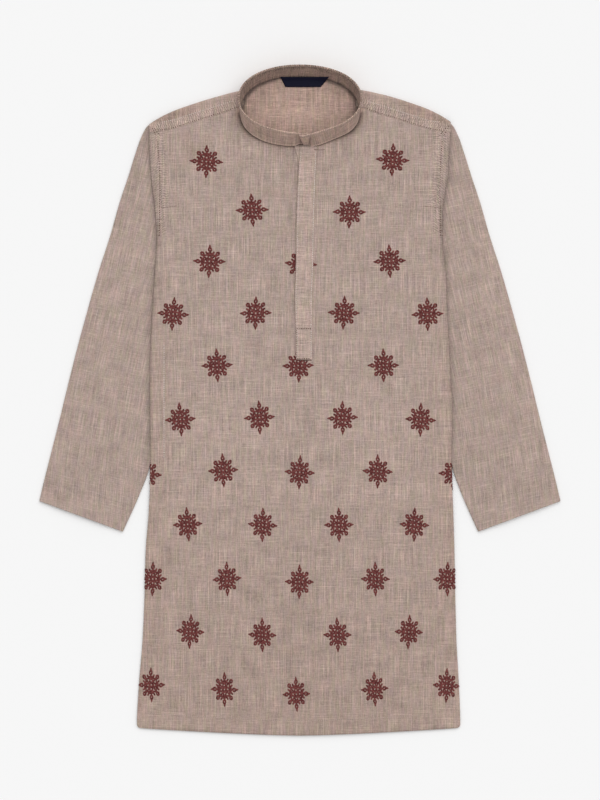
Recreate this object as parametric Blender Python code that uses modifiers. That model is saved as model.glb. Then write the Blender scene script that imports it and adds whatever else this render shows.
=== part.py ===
"""A boy's kurta tunic, laid flat on its back with its sleeves down: a Blender script in metres, +Z up.

X runs across the chest, +Y runs up to the collar and +Z out of the table. The origin is under the middle of
the whole outline, on the surface that the tunic lies on. The wearer's right sleeve is at -X. Tables and sizes
are in millimetres, and make_cloth turns them into metres.

The back lies on the table as one flat piece. The sleeves are flattened tubes beside it, the front lies over
both, and the two shoulder pieces come round the shoulder folds onto the front. The collar is a two-layer
standing band whose left end laps over its right end at the top of the placket.
"""

import math

import bpy
import numpy as np

MM = 0.001
WALL = 1.0
GAP = 0.35
LAYER = WALL + GAP
SEAM_CLEARANCE = 1.2

BACK_TOP = WALL
HEM_MIDDLE_Y = -409.7
HEM_RISE = 10.3
HEM_HALF_WIDTH = 197.0
HEM_POWER = 1.4
HEM_SHARES = (0.0, 0.123, 0.246, 0.369, 0.493, 0.616, 0.739, 0.862, 0.985)
HEM_CORNER_Y = HEM_MIDDLE_Y + HEM_RISE

# The front seen from above: the sides' distance from the middle, and the height of its outer face at the
# side edges and along the middle.
FRONT = (
    # y, right side, left side, edge height, middle height
    (-410.0, 198.9, 195.7, 2.5, 2.9),
    (-386.0, 198.6, 195.5, 2.5, 3.3),
    (-342.0, 196.0, 193.7, 2.5, 3.9),
    (-298.0, 192.3, 191.2, 2.6, 4.3),
    (-240.0, 189.6, 189.6, 2.7, 4.6),
    (-181.0, 188.0, 188.5, 3.0, 4.9),
    (-139.0, 184.6, 187.2, 3.8, 5.0),
    (-84.0, 182.5, 185.0, 4.4, 5.2),
    (-14.0, 183.0, 186.0, 4.4, 5.4),
    (36.0, 183.0, 183.6, 4.4, 5.4),
    (103.0, 180.5, 180.0, 4.4, 5.4),
    (153.0, 177.5, 178.0, 4.4, 5.4),
    (204.0, 175.0, 173.6, 4.4, 5.4),
    (240.0, 178.0, 175.2, 4.4, 5.3),
    (267.0, 181.0, 180.0, 4.4, 5.2),
    (297.0, 183.3, 181.8, 4.4, 5.1),
    (337.0, 184.3, 184.0, 4.4, 4.7),
    (385.0, 184.3, 184.0, 4.4, 4.5),
)
FRONT_ROUNDING = 28.0

# Creases pressed into the front while it was folded: where each runs, how far it stands up, and its reach.
PRESSED_FOLDS = (
    # y, height, reach
    (-130.5, 0.5, 11.0),
)

# The fold over each shoulder, and how far the shoulder piece comes down in front of it.
SHOULDER = (
    # distance from the middle, y of the fold, depth in front
    (69.5, 381.3, 23.0),
    (73.0, 380.0, 23.0),
    (85.5, 376.0, 23.6),
    (110.0, 369.7, 25.0),
    (134.0, 362.1, 25.0),
    (158.0, 353.2, 23.5),
    (171.0, 346.8, 19.0),
    (178.0, 342.6, 15.0),
    (184.0, 338.6, 12.5),
)
SHOULDER_HEM_LAP = 12.0
SHOULDER_FOLD_CLEARANCE = 7.0
SHOULDER_LIP = 9.0
SHOULDER_COLUMNS = (69.8, 73.0, 79.0, 85.5, 97.0, 110.0, 122.0, 134.0, 146.0, 158.0, 165.0, 171.0)
SHOULDER_TIP_X = 184.0
SHOULDER_SHARES = (0.3, 0.65, 1.0)
BACK_CORNER_Y = 330.0

# The sleeve's inner edge, from the armhole, under the front's side edge, and out to the cuff.
SLEEVE_INNER = (
    # y, right sleeve, left sleeve
    (-162.0, 216.6, 218.0),
    (-115.0, 195.5, 197.3),
    (-85.0, 184.2, 186.6),
    (-50.0, 178.2, 180.9),
    (-14.0, 178.0, 180.6),
    (36.0, 178.0, 178.6),
    (103.0, 175.5, 175.0),
    (153.0, 172.5, 173.0),
    (204.0, 170.0, 168.6),
    (240.0, 173.0, 170.2),
    (267.0, 176.0, 175.0),
    (297.0, 178.3, 176.8),
    (345.0, 178.6, 178.2),
)

# The sleeve's outer fold, the same on both sides.
SLEEVE_OUTER = (
    # y, distance from the middle
    (-123.5, 318.0),
    (-107.5, 314.3),
    (-64.0, 303.4),
    (-20.0, 292.3),
    (24.0, 281.6),
    (68.0, 270.4),
    (112.0, 258.4),
    (156.0, 245.8),
    (200.0, 231.6),
    (244.0, 219.0),
    (273.0, 209.3),
    (302.0, 200.3),
    (319.5, 194.4),
    (327.0, 191.0),
    (334.0, 186.6),
    (339.6, 178.8),
)

# Cuts across the sleeve, from the armhole to the cuff.
SLEEVE_CUTS = (
    # share of the length, y at the outer fold, y at the inner edge, height in the middle
    (0.00, 339.3, 204.0, 2.9),
    (0.03, 331.0, 196.0, 2.9),
    (0.07, 318.0, 184.0, 3.4),
    (0.13, 296.0, 166.0, 4.5),
    (0.25, 246.0, 130.0, 5.1),
    (0.40, 176.0, 82.0, 5.3),
    (0.55, 104.0, 34.0, 5.3),
    (0.70, 32.0, -14.0, 5.1),
    (0.80, -18.0, -50.0, 4.9),
    (0.90, -70.0, -94.0, 4.5),
    (1.00, -123.5, -160.8, 3.9),
)
SLEEVE_SHARES = (0.0, 0.03, 0.07, 0.13, 0.19, 0.25, 0.32, 0.40, 0.48, 0.55, 0.62, 0.70, 0.75, 0.80, 0.85) + (
    (0.90, 0.95, 1.0)
)
ARMHOLE_SHARE = 0.13
SLEEVE_EDGE_RADIUS = 1.4
LONGEST_BEND = 9.0
SLEEVE_TUCK = 7.0
SLEEVE_ROUNDING = 30.0
SLEEVE_OUTER_INSETS = (0.0, 3.6, 10.6, 22.6)
SLEEVE_MIDDLE_SHARES = (0.38, 0.55, 0.70)
SLEEVE_INNER_INSETS = (18.6, 5.6, 0.0)
SLEEVE_UNDER_SHARES = (0.6, 0.3)
EDGE_BENDS = (math.radians(45.0), 0.0, math.radians(-45.0))

# The placket: the lapping strip that shows, and the strip beneath it that carries the other side.
PLACKET_OVER = (
    # y, right edge, left edge
    (49.0, -4.6, 14.8),
    (88.0, -5.2, 14.8),
    (125.0, -6.4, 14.9),
    (155.0, -5.3, 16.2),
    (231.0, -4.0, 17.8),
    (305.4, -0.4, 20.6),
)
PLACKET_UNDER = (
    # y, right edge, left edge
    (89.0, 0.0, 13.0),
    (270.0, 0.0, 14.0),
    (290.0, -2.0, 14.0),
    (305.4, -5.6, 14.0),
)
SLIT_BOTTOM = 92.0
SLIT_EDGES = (5.5, 7.5)
STRIP_ROWS = 13
STRIP_COLUMNS = 4

# The neck seam and the collar's upper rim are two rounded ovals, seen from above.
NECK_SEAM = {"half_width": 71.5, "half_depth": 42.6, "middle_y": 351.2, "fullness": 2.3}
COLLAR_RIM = {"half_width": 73.0, "half_depth": 41.1, "middle_y": 367.7, "fullness": 2.1}
NECKLINE_TUCK = 1.6
COLLAR_HEIGHT = 25.0
COLLAR_BASE_FRONT = 6.6
COLLAR_BASE_BACK = 2.9
COLLAR_BASE_CHANGE = (374.0, 391.0)
COLLAR_OVER_END = math.radians(0.6)
COLLAR_UNDER_END = math.radians(366.5)
COLLAR_LAP = 2 * LAYER
COLLAR_LAP_ANGLES = (math.radians(8.0), math.radians(24.0))
COLLAR_COLUMNS = 44
COLLAR_ROWS = 3

LABEL_CORNERS = ((-24.0, 391.2), (-16.2, 381.8), (25.5, 381.8), (35.5, 390.2))

BODY_ROWS = (
    (-386.0, -364.0, -342.0, -320.0, -298.0, -270.0, -240.0, -210.0, -181.0, -160.0, -143.0, -130.5, -118.0)
    + (-100.0, -84.0, -50.0, -14.0, 12.0, 36.0, 70.0, 92.0, 125.0, 153.0, 180.0, 204.0, 222.0, 240.0, 267.0)
    + (284.0, 300.0)
)
BODY_TOP_SHARES = (0.34, 0.67, 1.0)
HALF_COLUMNS = (14.0, 30.0, 46.0, 58.0, 65.0, 69.0, 71.5, 73.5, 92.0) + (
    (112.0, 134.0, 154.0, 168.0, 178.0, 184.0)
)
NOMINAL_HALF_WIDTH = 184.0

TAUPE_BODY = (0.40, 0.31, 0.265, 1.0)
TAUPE_SLEEVE = (0.42, 0.33, 0.285, 1.0)
TAUPE_COLLAR = (0.29, 0.20, 0.165, 1.0)
NAVY = (0.012, 0.014, 0.045, 1.0)

RIGHT, LEFT = 0, 1


def smooth_step(value):
    """0 below 0, 1 above 1, and an even rise between."""
    value = np.clip(value, 0.0, 1.0)
    return value * value * (3.0 - 2.0 * value)


def along(table, at):
    """A smooth curve through a table's rows, read at values of its first column; one last axis per column."""
    rows = np.array(table, float)
    knots, values = rows[:, 0], rows[:, 1:]
    slopes = np.gradient(values, knots, axis=0)
    at = np.clip(np.asarray(at, float), knots[0], knots[-1])
    low = np.clip(np.searchsorted(knots, at, "right") - 1, 0, len(knots) - 2)
    span = (knots[low + 1] - knots[low])[..., None]
    t = (at - knots[low])[..., None] / span
    start = (2 * t**3 - 3 * t**2 + 1) * values[low] + (t**3 - 2 * t**2 + t) * span * slopes[low]
    end = (3 * t**2 - 2 * t**3) * values[low + 1] + (t**3 - t**2) * span * slopes[low + 1]
    return start + end


def half_oval(oval, x):
    """How far an oval reaches from its middle along Y, at each x: depth * (1 - |x/width|^n)^(1/n)."""
    inside = np.clip(1.0 - np.abs(x / oval["half_width"]) ** oval["fullness"], 0.0, 1.0)
    return oval["half_depth"] * inside ** (1.0 / oval["fullness"])


def round_oval(oval, angle):
    """Points of an oval in plan: angle 0 is the middle of the front, and a quarter turn is the left side."""
    across, down = np.sin(angle), np.cos(angle)
    power = 2.0 / oval["fullness"]
    x = oval["half_width"] * np.sign(across) * np.abs(across) ** power
    y = oval["middle_y"] - oval["half_depth"] * np.sign(down) * np.abs(down) ** power
    return x, y


def front_height(x, y):
    """The height of the front's outer face: the edge height, rising to the middle height, plus the creases."""
    right, left, edge, middle = np.moveaxis(along(FRONT, y), -1, 0)
    inset = np.minimum(x + right, left - x)
    height = edge + (middle - edge) * smooth_step(inset / FRONT_ROUNDING)
    for fold_y, fold_height, reach in PRESSED_FOLDS:
        ridge = np.exp(-(((y - fold_y) / reach) ** 2)) * smooth_step(inset / reach)
        height = height + fold_height * ridge
    return height


def hem_y(x):
    """The hem's curve, lowest in the middle."""
    return HEM_MIDDLE_Y + HEM_RISE * np.abs(x / HEM_HALF_WIDTH) ** HEM_POWER


def shoulder_y(x):
    """The shoulder fold's y, and the depth of the shoulder piece in front of it."""
    fold, depth = np.moveaxis(along(SHOULDER, np.abs(x)), -1, 0)
    return fold, depth


def new_material(name, colour, roughness):
    material = bpy.data.materials.new(name)
    material.use_nodes = True
    shader = material.node_tree.nodes["Principled BSDF"]
    shader.inputs["Base Color"].default_value = colour
    shader.inputs["Roughness"].default_value = roughness
    return material


def place(name, data, colour, roughness):
    """Puts mesh or curve data in the tunic's collection under its piece's name, with its own material."""
    piece = bpy.data.objects.new(name, data)
    tunic.objects.link(piece)
    piece.data.materials.append(new_material(name, colour, roughness))
    return piece


def make_cloth(name, grid, colour, keep=None, outwards=-1.0, ring=False):
    """A wall of cloth on a grid of rows and columns of points, without the cells where keep is False.

    The grid's faces look along the cross product of columns and rows. The wall's thickness goes against that
    way for outwards -1 and along it for 1. A ring's last column joins its first.
    """
    rows, columns = grid.shape[:2]
    cells = columns if ring else columns - 1
    faces = []
    for row in range(rows - 1):
        for column in range(cells):
            if keep is None or keep[row, column]:
                beside = (column + 1) % columns
                corners = ((row, column), (row, beside), (row + 1, beside), (row + 1, column))
                faces.append([r * columns + c for r, c in corners])
    used, numbered = np.unique(np.array(faces), return_inverse=True)
    points = grid.reshape(-1, 3)[used] * MM
    mesh = bpy.data.meshes.new(name)
    mesh.from_pydata(points.tolist(), [], numbered.reshape(-1, 4).tolist())
    mesh.validate()
    mesh.shade_smooth()
    piece = place(name, mesh, colour, 0.85)
    wall = piece.modifiers.new("wall", "SOLIDIFY")
    wall.thickness = WALL * MM
    wall.offset = outwards
    return piece


def make_flat(name, outline, low_z, colour, roughness):
    """A flat piece one wall thick: a filled outline, lying with its underside at low_z."""
    curve = bpy.data.curves.new(name, "CURVE")
    curve.dimensions = "2D"
    curve.fill_mode = "BOTH"
    curve.extrude = WALL * MM / 2
    spline = curve.splines.new("POLY")
    spline.points.add(len(outline) - 1)
    for point, (x, y) in zip(spline.points, outline):
        point.co = (x * MM, y * MM, 0.0, 1.0)
    spline.use_cyclic_u = True
    piece = place(name, curve, colour, roughness)
    piece.location.z = (low_z + WALL / 2) * MM
    return piece


def make_back():
    """The back: its sides follow the front's, or stop just clear of the sleeves where those lie outside it."""
    xs = np.array(HALF_COLUMNS[:-2])
    neck = NECK_SEAM["middle_y"] + half_oval(NECK_SEAM, xs) - GAP
    neck[xs > NECK_SEAM["half_width"]] = -np.inf
    shoulder = shoulder_y(xs)[0] - SHOULDER_LIP - GAP
    top = np.maximum(neck, shoulder)
    ys = np.array((HEM_CORNER_Y + 2.0,) + BODY_ROWS)
    sleeve = along(SLEEVE_INNER, ys) - SEAM_CLEARANCE
    sleeve[ys < SLEEVE_INNER[0][0]] = np.inf
    sides = np.minimum(along(FRONT, ys)[:, :2], sleeve)
    head = along(SLEEVE_INNER, BACK_CORNER_Y) - SEAM_CLEARANCE
    hem_xs = np.array(HEM_SHARES) * HEM_HALF_WIDTH
    half = {
        side: [(x, hem_y(x)) for x in hem_xs]
        + list(zip(sides[:, side], ys))
        + [(head[side], BACK_CORNER_Y)]
        + list(zip(xs[::-1], top[::-1]))
        for side in (RIGHT, LEFT)
    }
    centre_top = (0.0, NECK_SEAM["middle_y"] + NECK_SEAM["half_depth"] - GAP)
    right_half = [(-x, y) for x, y in reversed(half[RIGHT])]
    outline = half[LEFT] + [centre_top] + right_half[:-1]
    make_flat("back_panel", outline, 0.0, TAUPE_BODY, 0.85)


def make_front():
    """The front: a crowned wall from the hem to the neck and shoulder pieces, slit down to the placket."""
    nominal = np.array([-x for x in reversed(HALF_COLUMNS)] + list(SLIT_EDGES) + list(HALF_COLUMNS))
    fold, depth = shoulder_y(nominal)
    lap = np.minimum(SHOULDER_HEM_LAP, depth - SHOULDER_FOLD_CLEARANCE)
    neck = NECK_SEAM["middle_y"] - half_oval(NECK_SEAM, nominal) + NECKLINE_TUCK
    top = np.where(np.abs(nominal) > NECK_SEAM["half_width"] + 1.0, fold - depth + lap, neck)
    rows = [hem_y(nominal)] + [np.full(len(nominal), y) for y in BODY_ROWS]
    rows += [BODY_ROWS[-1] + (top - BODY_ROWS[-1]) * share for share in BODY_TOP_SHARES]
    y = np.array(rows)
    right, left = np.moveaxis(along(FRONT, y)[..., :2], -1, 0)
    x = nominal / NOMINAL_HALF_WIDTH * np.where(nominal < 0, right, left)
    grid = np.stack([x, y, front_height(x, y)], axis=-1)
    slit_column = int(np.searchsorted(nominal, SLIT_EDGES[0]))
    first_slit_row = 1 + BODY_ROWS.index(SLIT_BOTTOM)
    keep = np.ones((len(rows) - 1, len(nominal) - 1), bool)
    keep[first_slit_row:, slit_column] = False
    make_cloth("front_panel", grid, TAUPE_BODY, keep)


def make_shoulder(name, side):
    """A shoulder piece: from a lip on the table, round the shoulder fold, and down over the front's top edge.

    Its end past the armhole is the upper layer only, because the sleeve's head lies inside it there.
    """
    sign = -1.0 if side == RIGHT else 1.0
    head_x = along(SLEEVE_INNER, SLEEVE_INNER[-1][0])[side] - SEAM_CLEARANCE
    xs = np.array(SHOULDER_COLUMNS + (head_x, SHOULDER_TIP_X))
    fold, depth = shoulder_y(xs)
    top = front_height(sign * xs, fold - SHOULDER_LIP) + LAYER
    radius = top / 2
    bends = np.radians((-90.0, -50.0, -15.0, 15.0, 50.0, 90.0))
    rows = [(np.full(len(xs), SHOULDER_LIP), np.zeros(len(xs)))]
    rows += [(radius * (1 - math.cos(bend)), radius * (1 + math.sin(bend))) for bend in bends]
    first_upper_row = len(rows) - 1
    for share in SHOULDER_SHARES:
        inset = radius + (depth - radius) * share
        rows.append((inset, front_height(sign * xs, fold - inset) + LAYER))
    grid = np.array([np.stack([sign * xs, fold - inset, height], axis=-1) for inset, height in rows])
    keep = np.ones((len(rows) - 1, len(xs) - 1), bool)
    keep[:first_upper_row, -1] = False
    make_cloth(name, grid, TAUPE_BODY, keep, outwards=sign)


def sleeve_line(side, share):
    """The two ends of the cut across a sleeve at a share of its length, and its height in the middle."""
    outer_y, inner_y, height = np.moveaxis(along(SLEEVE_CUTS, share), -1, 0)
    outer = np.stack([along(SLEEVE_OUTER, outer_y)[..., 0], outer_y], axis=-1)
    inner = np.stack([along(SLEEVE_INNER, inner_y)[..., side], inner_y], axis=-1)
    return outer, inner, height


def bend_inset(edge, cuts):
    """How far along each cut the fold's bend reaches, so that it is one radius square to the edge."""
    run = np.gradient(edge, axis=0)
    run /= np.linalg.norm(run, axis=-1, keepdims=True)
    slant = np.abs(run[:, 0] * cuts[:, 1] - run[:, 1] * cuts[:, 0])
    return np.minimum(SLEEVE_EDGE_RADIUS / slant, LONGEST_BEND)


def make_sleeve(name, side):
    """A sleeve: a flattened tube, flat beneath, whose open ends are the armhole and the cuff.

    Its columns go round the tube: from the outer fold across the upper layer, round the inner fold, and back
    across the under layer to the outer fold. Where a column has no height of its own, the crown gives it.
    """
    sign = -1.0 if side == RIGHT else 1.0
    shares = np.array(SLEEVE_SHARES)
    outer, inner, middle = sleeve_line(side, shares)
    width = np.linalg.norm(inner - outer, axis=-1)
    cuts = (inner - outer) / width[:, None]
    outer_bend, inner_bend = bend_inset(outer, cuts), bend_inset(inner, cuts)
    bends = [(1 - math.cos(bend), SLEEVE_EDGE_RADIUS * (1 + math.sin(bend))) for bend in EDGE_BENDS]
    insets = [(outer_bend + inset, None) for inset in SLEEVE_OUTER_INSETS]
    insets += [(width * share, None) for share in SLEEVE_MIDDLE_SHARES]
    insets += [(width - inner_bend - inset, None) for inset in SLEEVE_INNER_INSETS]
    insets += [(width - inner_bend * reach, height) for reach, height in bends]
    insets += [(width - inner_bend, 0.0)] + [(width * share, 0.0) for share in SLEEVE_UNDER_SHARES]
    insets += [(outer_bend, 0.0)] + [(outer_bend * reach, height) for reach, height in reversed(bends)]
    grid = np.empty((len(shares), len(insets), 3))
    armhole_pull = np.clip(1 - shares / ARMHOLE_SHARE, 0, 1)
    for column, (inset, height) in enumerate(insets):
        point = outer + cuts * inset[:, None]
        armhole_x = along(SLEEVE_INNER, point[:, 1])[:, side]
        point[:, 0] += armhole_pull * (armhole_x - point[:, 0])[0]
        if height is None:
            rise = smooth_step(inset / SLEEVE_ROUNDING)
            rise = rise * smooth_step((width - inset - SLEEVE_TUCK) / SLEEVE_ROUNDING)
            height = 2 * SLEEVE_EDGE_RADIUS + (middle - 2 * SLEEVE_EDGE_RADIUS) * rise
        grid[:, column, 0] = sign * point[:, 0]
        grid[:, column, 1] = point[:, 1]
        grid[:, column, 2] = height
    make_cloth(name, grid, TAUPE_SLEEVE, outwards=-sign, ring=True)


def make_placket_strip(name, table, layers):
    """A straight strip made from the front's own points, moved out by whole layers of cloth."""
    ys = np.linspace(table[0][0], table[-1][0], STRIP_ROWS)
    right, left = np.moveaxis(along(table, ys), -1, 0)
    across = np.linspace(0.0, 1.0, STRIP_COLUMNS)
    x = right[:, None] + (left - right)[:, None] * across
    y = np.repeat(ys[:, None], len(across), axis=1)
    grid = np.stack([x, y, front_height(x, y) + layers * LAYER], axis=-1)
    make_cloth(name, grid, TAUPE_BODY)


def collar_surface(columns, rows):
    """The collar's middle surface, from the neck seam up to the rim, and its outward direction at each point.

    Each straight line from seam to rim is COLLAR_HEIGHT long. Near the lapping end the surface moves out.
    """
    angle = np.linspace(COLLAR_OVER_END, COLLAR_UNDER_END, columns)
    seam_x, seam_y = round_oval(NECK_SEAM, angle)
    rim_x, rim_y = round_oval(COLLAR_RIM, angle)
    low, high = COLLAR_BASE_CHANGE
    towards_back = smooth_step((seam_y - low) / (high - low))
    base = COLLAR_BASE_FRONT + (COLLAR_BASE_BACK - COLLAR_BASE_FRONT) * towards_back
    rise = np.sqrt(COLLAR_HEIGHT**2 - (rim_x - seam_x) ** 2 - (rim_y - seam_y) ** 2)
    seam = np.stack([seam_x, seam_y, base], axis=-1)
    rim = np.stack([rim_x, rim_y, base + rise], axis=-1)
    share = np.linspace(0.0, 1.0, rows)[:, None, None]
    middle = seam + (rim - seam) * share
    outward = np.cross(np.gradient(middle, axis=1), rim - seam)
    outward /= np.linalg.norm(outward, axis=-1, keepdims=True)
    flat_end, turn_end = COLLAR_LAP_ANGLES
    lap = COLLAR_LAP * (1 - smooth_step((angle - flat_end) / (turn_end - flat_end)))
    return middle + outward * lap[:, None], outward


def make_collar():
    """The collar band's two layers of cloth, outer and inner, a gap apart."""
    middle, outward = collar_surface(COLLAR_COLUMNS, COLLAR_ROWS)
    make_cloth("collar_outer", middle + outward * GAP / 2, TAUPE_COLLAR, outwards=1.0)
    make_cloth("collar_inner", middle - outward * GAP / 2, TAUPE_COLLAR, outwards=-1.0)


for old in list(bpy.data.objects):
    bpy.data.objects.remove(old, do_unlink=True)
tunic = bpy.data.collections.new("kurta_tunic")
bpy.context.scene.collection.children.link(tunic)

make_back()
make_front()
make_shoulder("shoulder_right", RIGHT)
make_shoulder("shoulder_left", LEFT)
make_sleeve("sleeve_right", RIGHT)
make_sleeve("sleeve_left", LEFT)
make_placket_strip("placket_under", PLACKET_UNDER, 1)
make_placket_strip("placket_over", PLACKET_OVER, 2)
make_collar()
make_flat("neck_label", LABEL_CORNERS, BACK_TOP + GAP, NAVY, 0.6)
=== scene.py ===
"""The looks of a boy's kurta tunic, laid flat on its back with its sleeves down.

Tables and sizes are in millimetres, in the model's own frame: X across the chest, +Y up to the collar, +Z out
of the table. add_mesh turns them into metres. Each cloth piece is a grid worked out on its solid's form, with
its creases added, and carries a UV map in metres: U across its grain and V along it. The embroidery, the
seams and every stitch are placed on the same surfaces.
"""

import math

import bpy
import numpy as np
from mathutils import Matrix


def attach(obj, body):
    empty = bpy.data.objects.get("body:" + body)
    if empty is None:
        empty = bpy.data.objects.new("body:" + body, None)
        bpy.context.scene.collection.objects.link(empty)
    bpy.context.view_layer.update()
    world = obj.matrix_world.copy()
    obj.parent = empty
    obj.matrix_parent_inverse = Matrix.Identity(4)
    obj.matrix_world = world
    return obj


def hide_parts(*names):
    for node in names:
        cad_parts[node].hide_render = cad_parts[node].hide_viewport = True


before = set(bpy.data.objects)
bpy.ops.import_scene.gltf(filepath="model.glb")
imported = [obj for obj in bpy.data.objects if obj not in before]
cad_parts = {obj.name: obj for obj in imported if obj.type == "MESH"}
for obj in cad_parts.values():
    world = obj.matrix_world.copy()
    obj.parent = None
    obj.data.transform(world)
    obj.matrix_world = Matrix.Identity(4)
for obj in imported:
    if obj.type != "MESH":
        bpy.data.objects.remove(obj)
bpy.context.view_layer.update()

# A millimetre in metres, a cloth's thickness, how far a cloth lies above the one it laps, the gap between two
# pieces that meet, and the radius of a rolled edge.
MM = 0.001
CLOTH = 0.8
LAYER = 1.35
SEAM_CLEARANCE = 1.2
EDGE_ROLL = 1.0
# The wearer's two sides and which way is outwards on each, the attributes that a mesh carries, with the value
# of each on plain cloth, and the way out of the table.
RIGHT, LEFT = 0, 1
OUTWARDS = (-1.0, 1.0)
# The tone attribute carries painted shade and painted highlights as well as the cloth's uneven tone.
ATTRIBUTES = (("pucker", 0.0), ("tone", 1.0), ("warmth", 0.0), ("slant", 0.0))
UP = (0.0, 0.0, 1.0)

HEM_MIDDLE_Y = -409.7
HEM_RISE = 10.3
HEM_HALF_WIDTH = 197.0
HEM_POWER = 1.4
HEM_DEPTH = 19.0
HEM_THICKNESS = 0.45
HEM_CORNER = 4.5
BODY_TOP_Y = 300.0
ROW_PITCH = 2.9
COLUMN_PITCH = 2.9
NOMINAL_HALF_WIDTH = 184.0

# The front seen from above: its sides' distance from the middle, and the height of its outer face at the
# side edges and along the middle.
FRONT = (
    # y, right side, left side, edge height, middle height
    (-410, 198.9, 195.7, 2.5, 2.9),
    (-386, 198.6, 195.5, 2.5, 3.3),
    (-342, 196, 193.7, 2.5, 3.9),
    (-298, 192.3, 191.2, 2.6, 4.3),
    (-240, 189.6, 189.6, 2.7, 4.6),
    (-181, 188, 188.5, 3, 4.9),
    (-139, 184.6, 187.2, 3.8, 5),
    (-84, 182.5, 185, 4.4, 5.2),
    (-14, 183, 186, 4.4, 5.4),
    (36, 183, 183.6, 4.4, 5.4),
    (103, 180.5, 180, 4.4, 5.4),
    (153, 177.5, 178, 4.4, 5.4),
    (204, 175, 173.6, 4.4, 5.4),
    (240, 178, 175.2, 4.4, 5.3),
    (267, 181, 180, 4.4, 5.2),
    (297, 183.3, 181.8, 4.4, 5.1),
    (337, 184.3, 184, 4.4, 4.7),
    (385, 184.3, 184, 4.4, 4.5),
)
FRONT_ROUNDING = 28.0
# The height and the length of the uneven lie.
FRONT_ROLLING = (0.30, 62.0)

# The fold over each shoulder, and how far the shoulder piece comes down in front of it.
SHOULDER = (
    # distance from the middle, y of the fold, depth in front
    (69.5, 381.3, 23),
    (73, 380, 23),
    (85.5, 376, 23.6),
    (110, 369.7, 25),
    (134, 362.1, 25),
    (158, 353.2, 23.5),
    (171, 346.8, 19),
    (178, 342.6, 15),
    (184, 338.6, 12.5),
)
# How far the fold over the right and over the left shoulder lies from that, in y, growing from the neck out.
SHOULDER_LEAN = (-2.4, 0.6)
SHOULDER_HEM_LAP = 12.0
SHOULDER_FOLD_CLEARANCE = 7.0
SHOULDER_LIP = 9.0
SHOULDER_SPAN = 24.0
SHOULDER_START_X = 69.8
SHOULDER_NECK_GAP = 1.6
SHOULDER_NECK_REACH = 22.0
YOKE_SINK = 0.9
YOKE_RISE = 0.35
YOKE_SLOPE = 0.36

# The back's rows: closer at the hem and evenly spaced to the corners, where the neck and the shoulders start.
BACK_HEM_Y = -399.0
BACK_WAIST_Y = -39.0
BACK_CORNER_Y = 330.0
BACK_PITCH = 4.0

# The sleeve's inner edge, from the armhole, under the front's side edge, and out to the cuff.
SLEEVE_INNER = (
    # y, right sleeve, left sleeve
    (-162, 216.6, 218),
    (-115, 195.5, 197.3),
    (-85, 184.2, 186.6),
    (-50, 178.2, 180.9),
    (-14, 178, 180.6),
    (36, 178, 178.6),
    (103, 175.5, 175),
    (153, 172.5, 173),
    (204, 170, 168.6),
    (240, 173, 170.2),
    (267, 176, 175),
    (297, 178.3, 176.8),
    (345, 178.6, 178.2),
)

# The sleeve's outer fold, the same on both sides.
SLEEVE_OUTER = (
    # y, distance from the middle
    (-123.5, 318),
    (-107.5, 314.3),
    (-64, 303.4),
    (-20, 292.3),
    (24, 281.6),
    (68, 270.4),
    (112, 258.4),
    (156, 245.8),
    (200, 231.6),
    (244, 219),
    (273, 209.3),
    (302, 200.3),
    (319.5, 194.4),
    (327, 191),
    (334, 186.6),
    (339.6, 178.8),
)

# How much further up the outer fold comes at the head of the right and of the left sleeve, where it meets the
# shoulder's tip, and the height over which it does so.
SLEEVE_HEAD_RISE = (0.0, 1.7)
SLEEVE_HEAD_REACH = 44.0

# Cuts across the sleeve, from the armhole to the cuff.
SLEEVE_CUTS = (
    # share of the length, y at the outer fold, y at the inner edge, height in the middle
    (0.00, 339.3, 204, 2.9),
    (0.03, 331, 196, 2.9),
    (0.07, 318, 184, 3.4),
    (0.13, 296, 166, 4.5),
    (0.25, 246, 130, 5.1),
    (0.40, 176, 82, 5.3),
    (0.55, 104, 34, 5.3),
    (0.70, 32, -14, 5.1),
    (0.80, -18, -50, 4.9),
    (0.90, -70, -94, 4.5),
    (1.00, -123.5, -160.8, 3.9),
)
SLEEVE_EDGE_RADIUS = 1.4
LONGEST_BEND = 9.0
SLEEVE_TUCK = 7.0
SLEEVE_ROUNDING = 30.0
ARMHOLE_SHARE = 0.13
CUFF_DEPTH_SHARE = 0.955
SLEEVE_ROLLING = (0.28, 48.0)
SLEEVE_GRAIN_TILT = math.radians(12.5)
SLEEVE_GRAIN_BEND = {"from_y": 55.0, "per_mm": 0.0008}

# The placket: the lapping strip that shows, and the strip beneath it that carries the other side.
PLACKET_OVER = (
    # y, right edge, left edge
    (49, -4.6, 14.8),
    (88, -5.2, 14.8),
    (125, -6.4, 14.9),
    (155, -5.3, 16.2),
    (231, -4, 17.8),
    (310.4, -0.2, 20.8),
)
PLACKET_UNDER = (
    # y, right edge, left edge
    (89, 0, 13),
    (270, 0, 14),
    (290, -2, 14),
    (310.4, -6.6, 14),
)
PLACKET_BOX_Y = 86.9
SLIT_BOTTOM = 92.0
SLIT_EDGES = (5.5, 7.5)

# The neck seam and the collar's upper rim are two rounded ovals, seen from above.
NECK_SEAM = {"half_width": 71.5, "half_depth": 41.8, "middle_y": 352.0, "fullness": 2.3}
COLLAR_RIM = {"half_width": 74.7, "half_depth": 40.5, "middle_y": 367.1, "fullness": 2.1}
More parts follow.
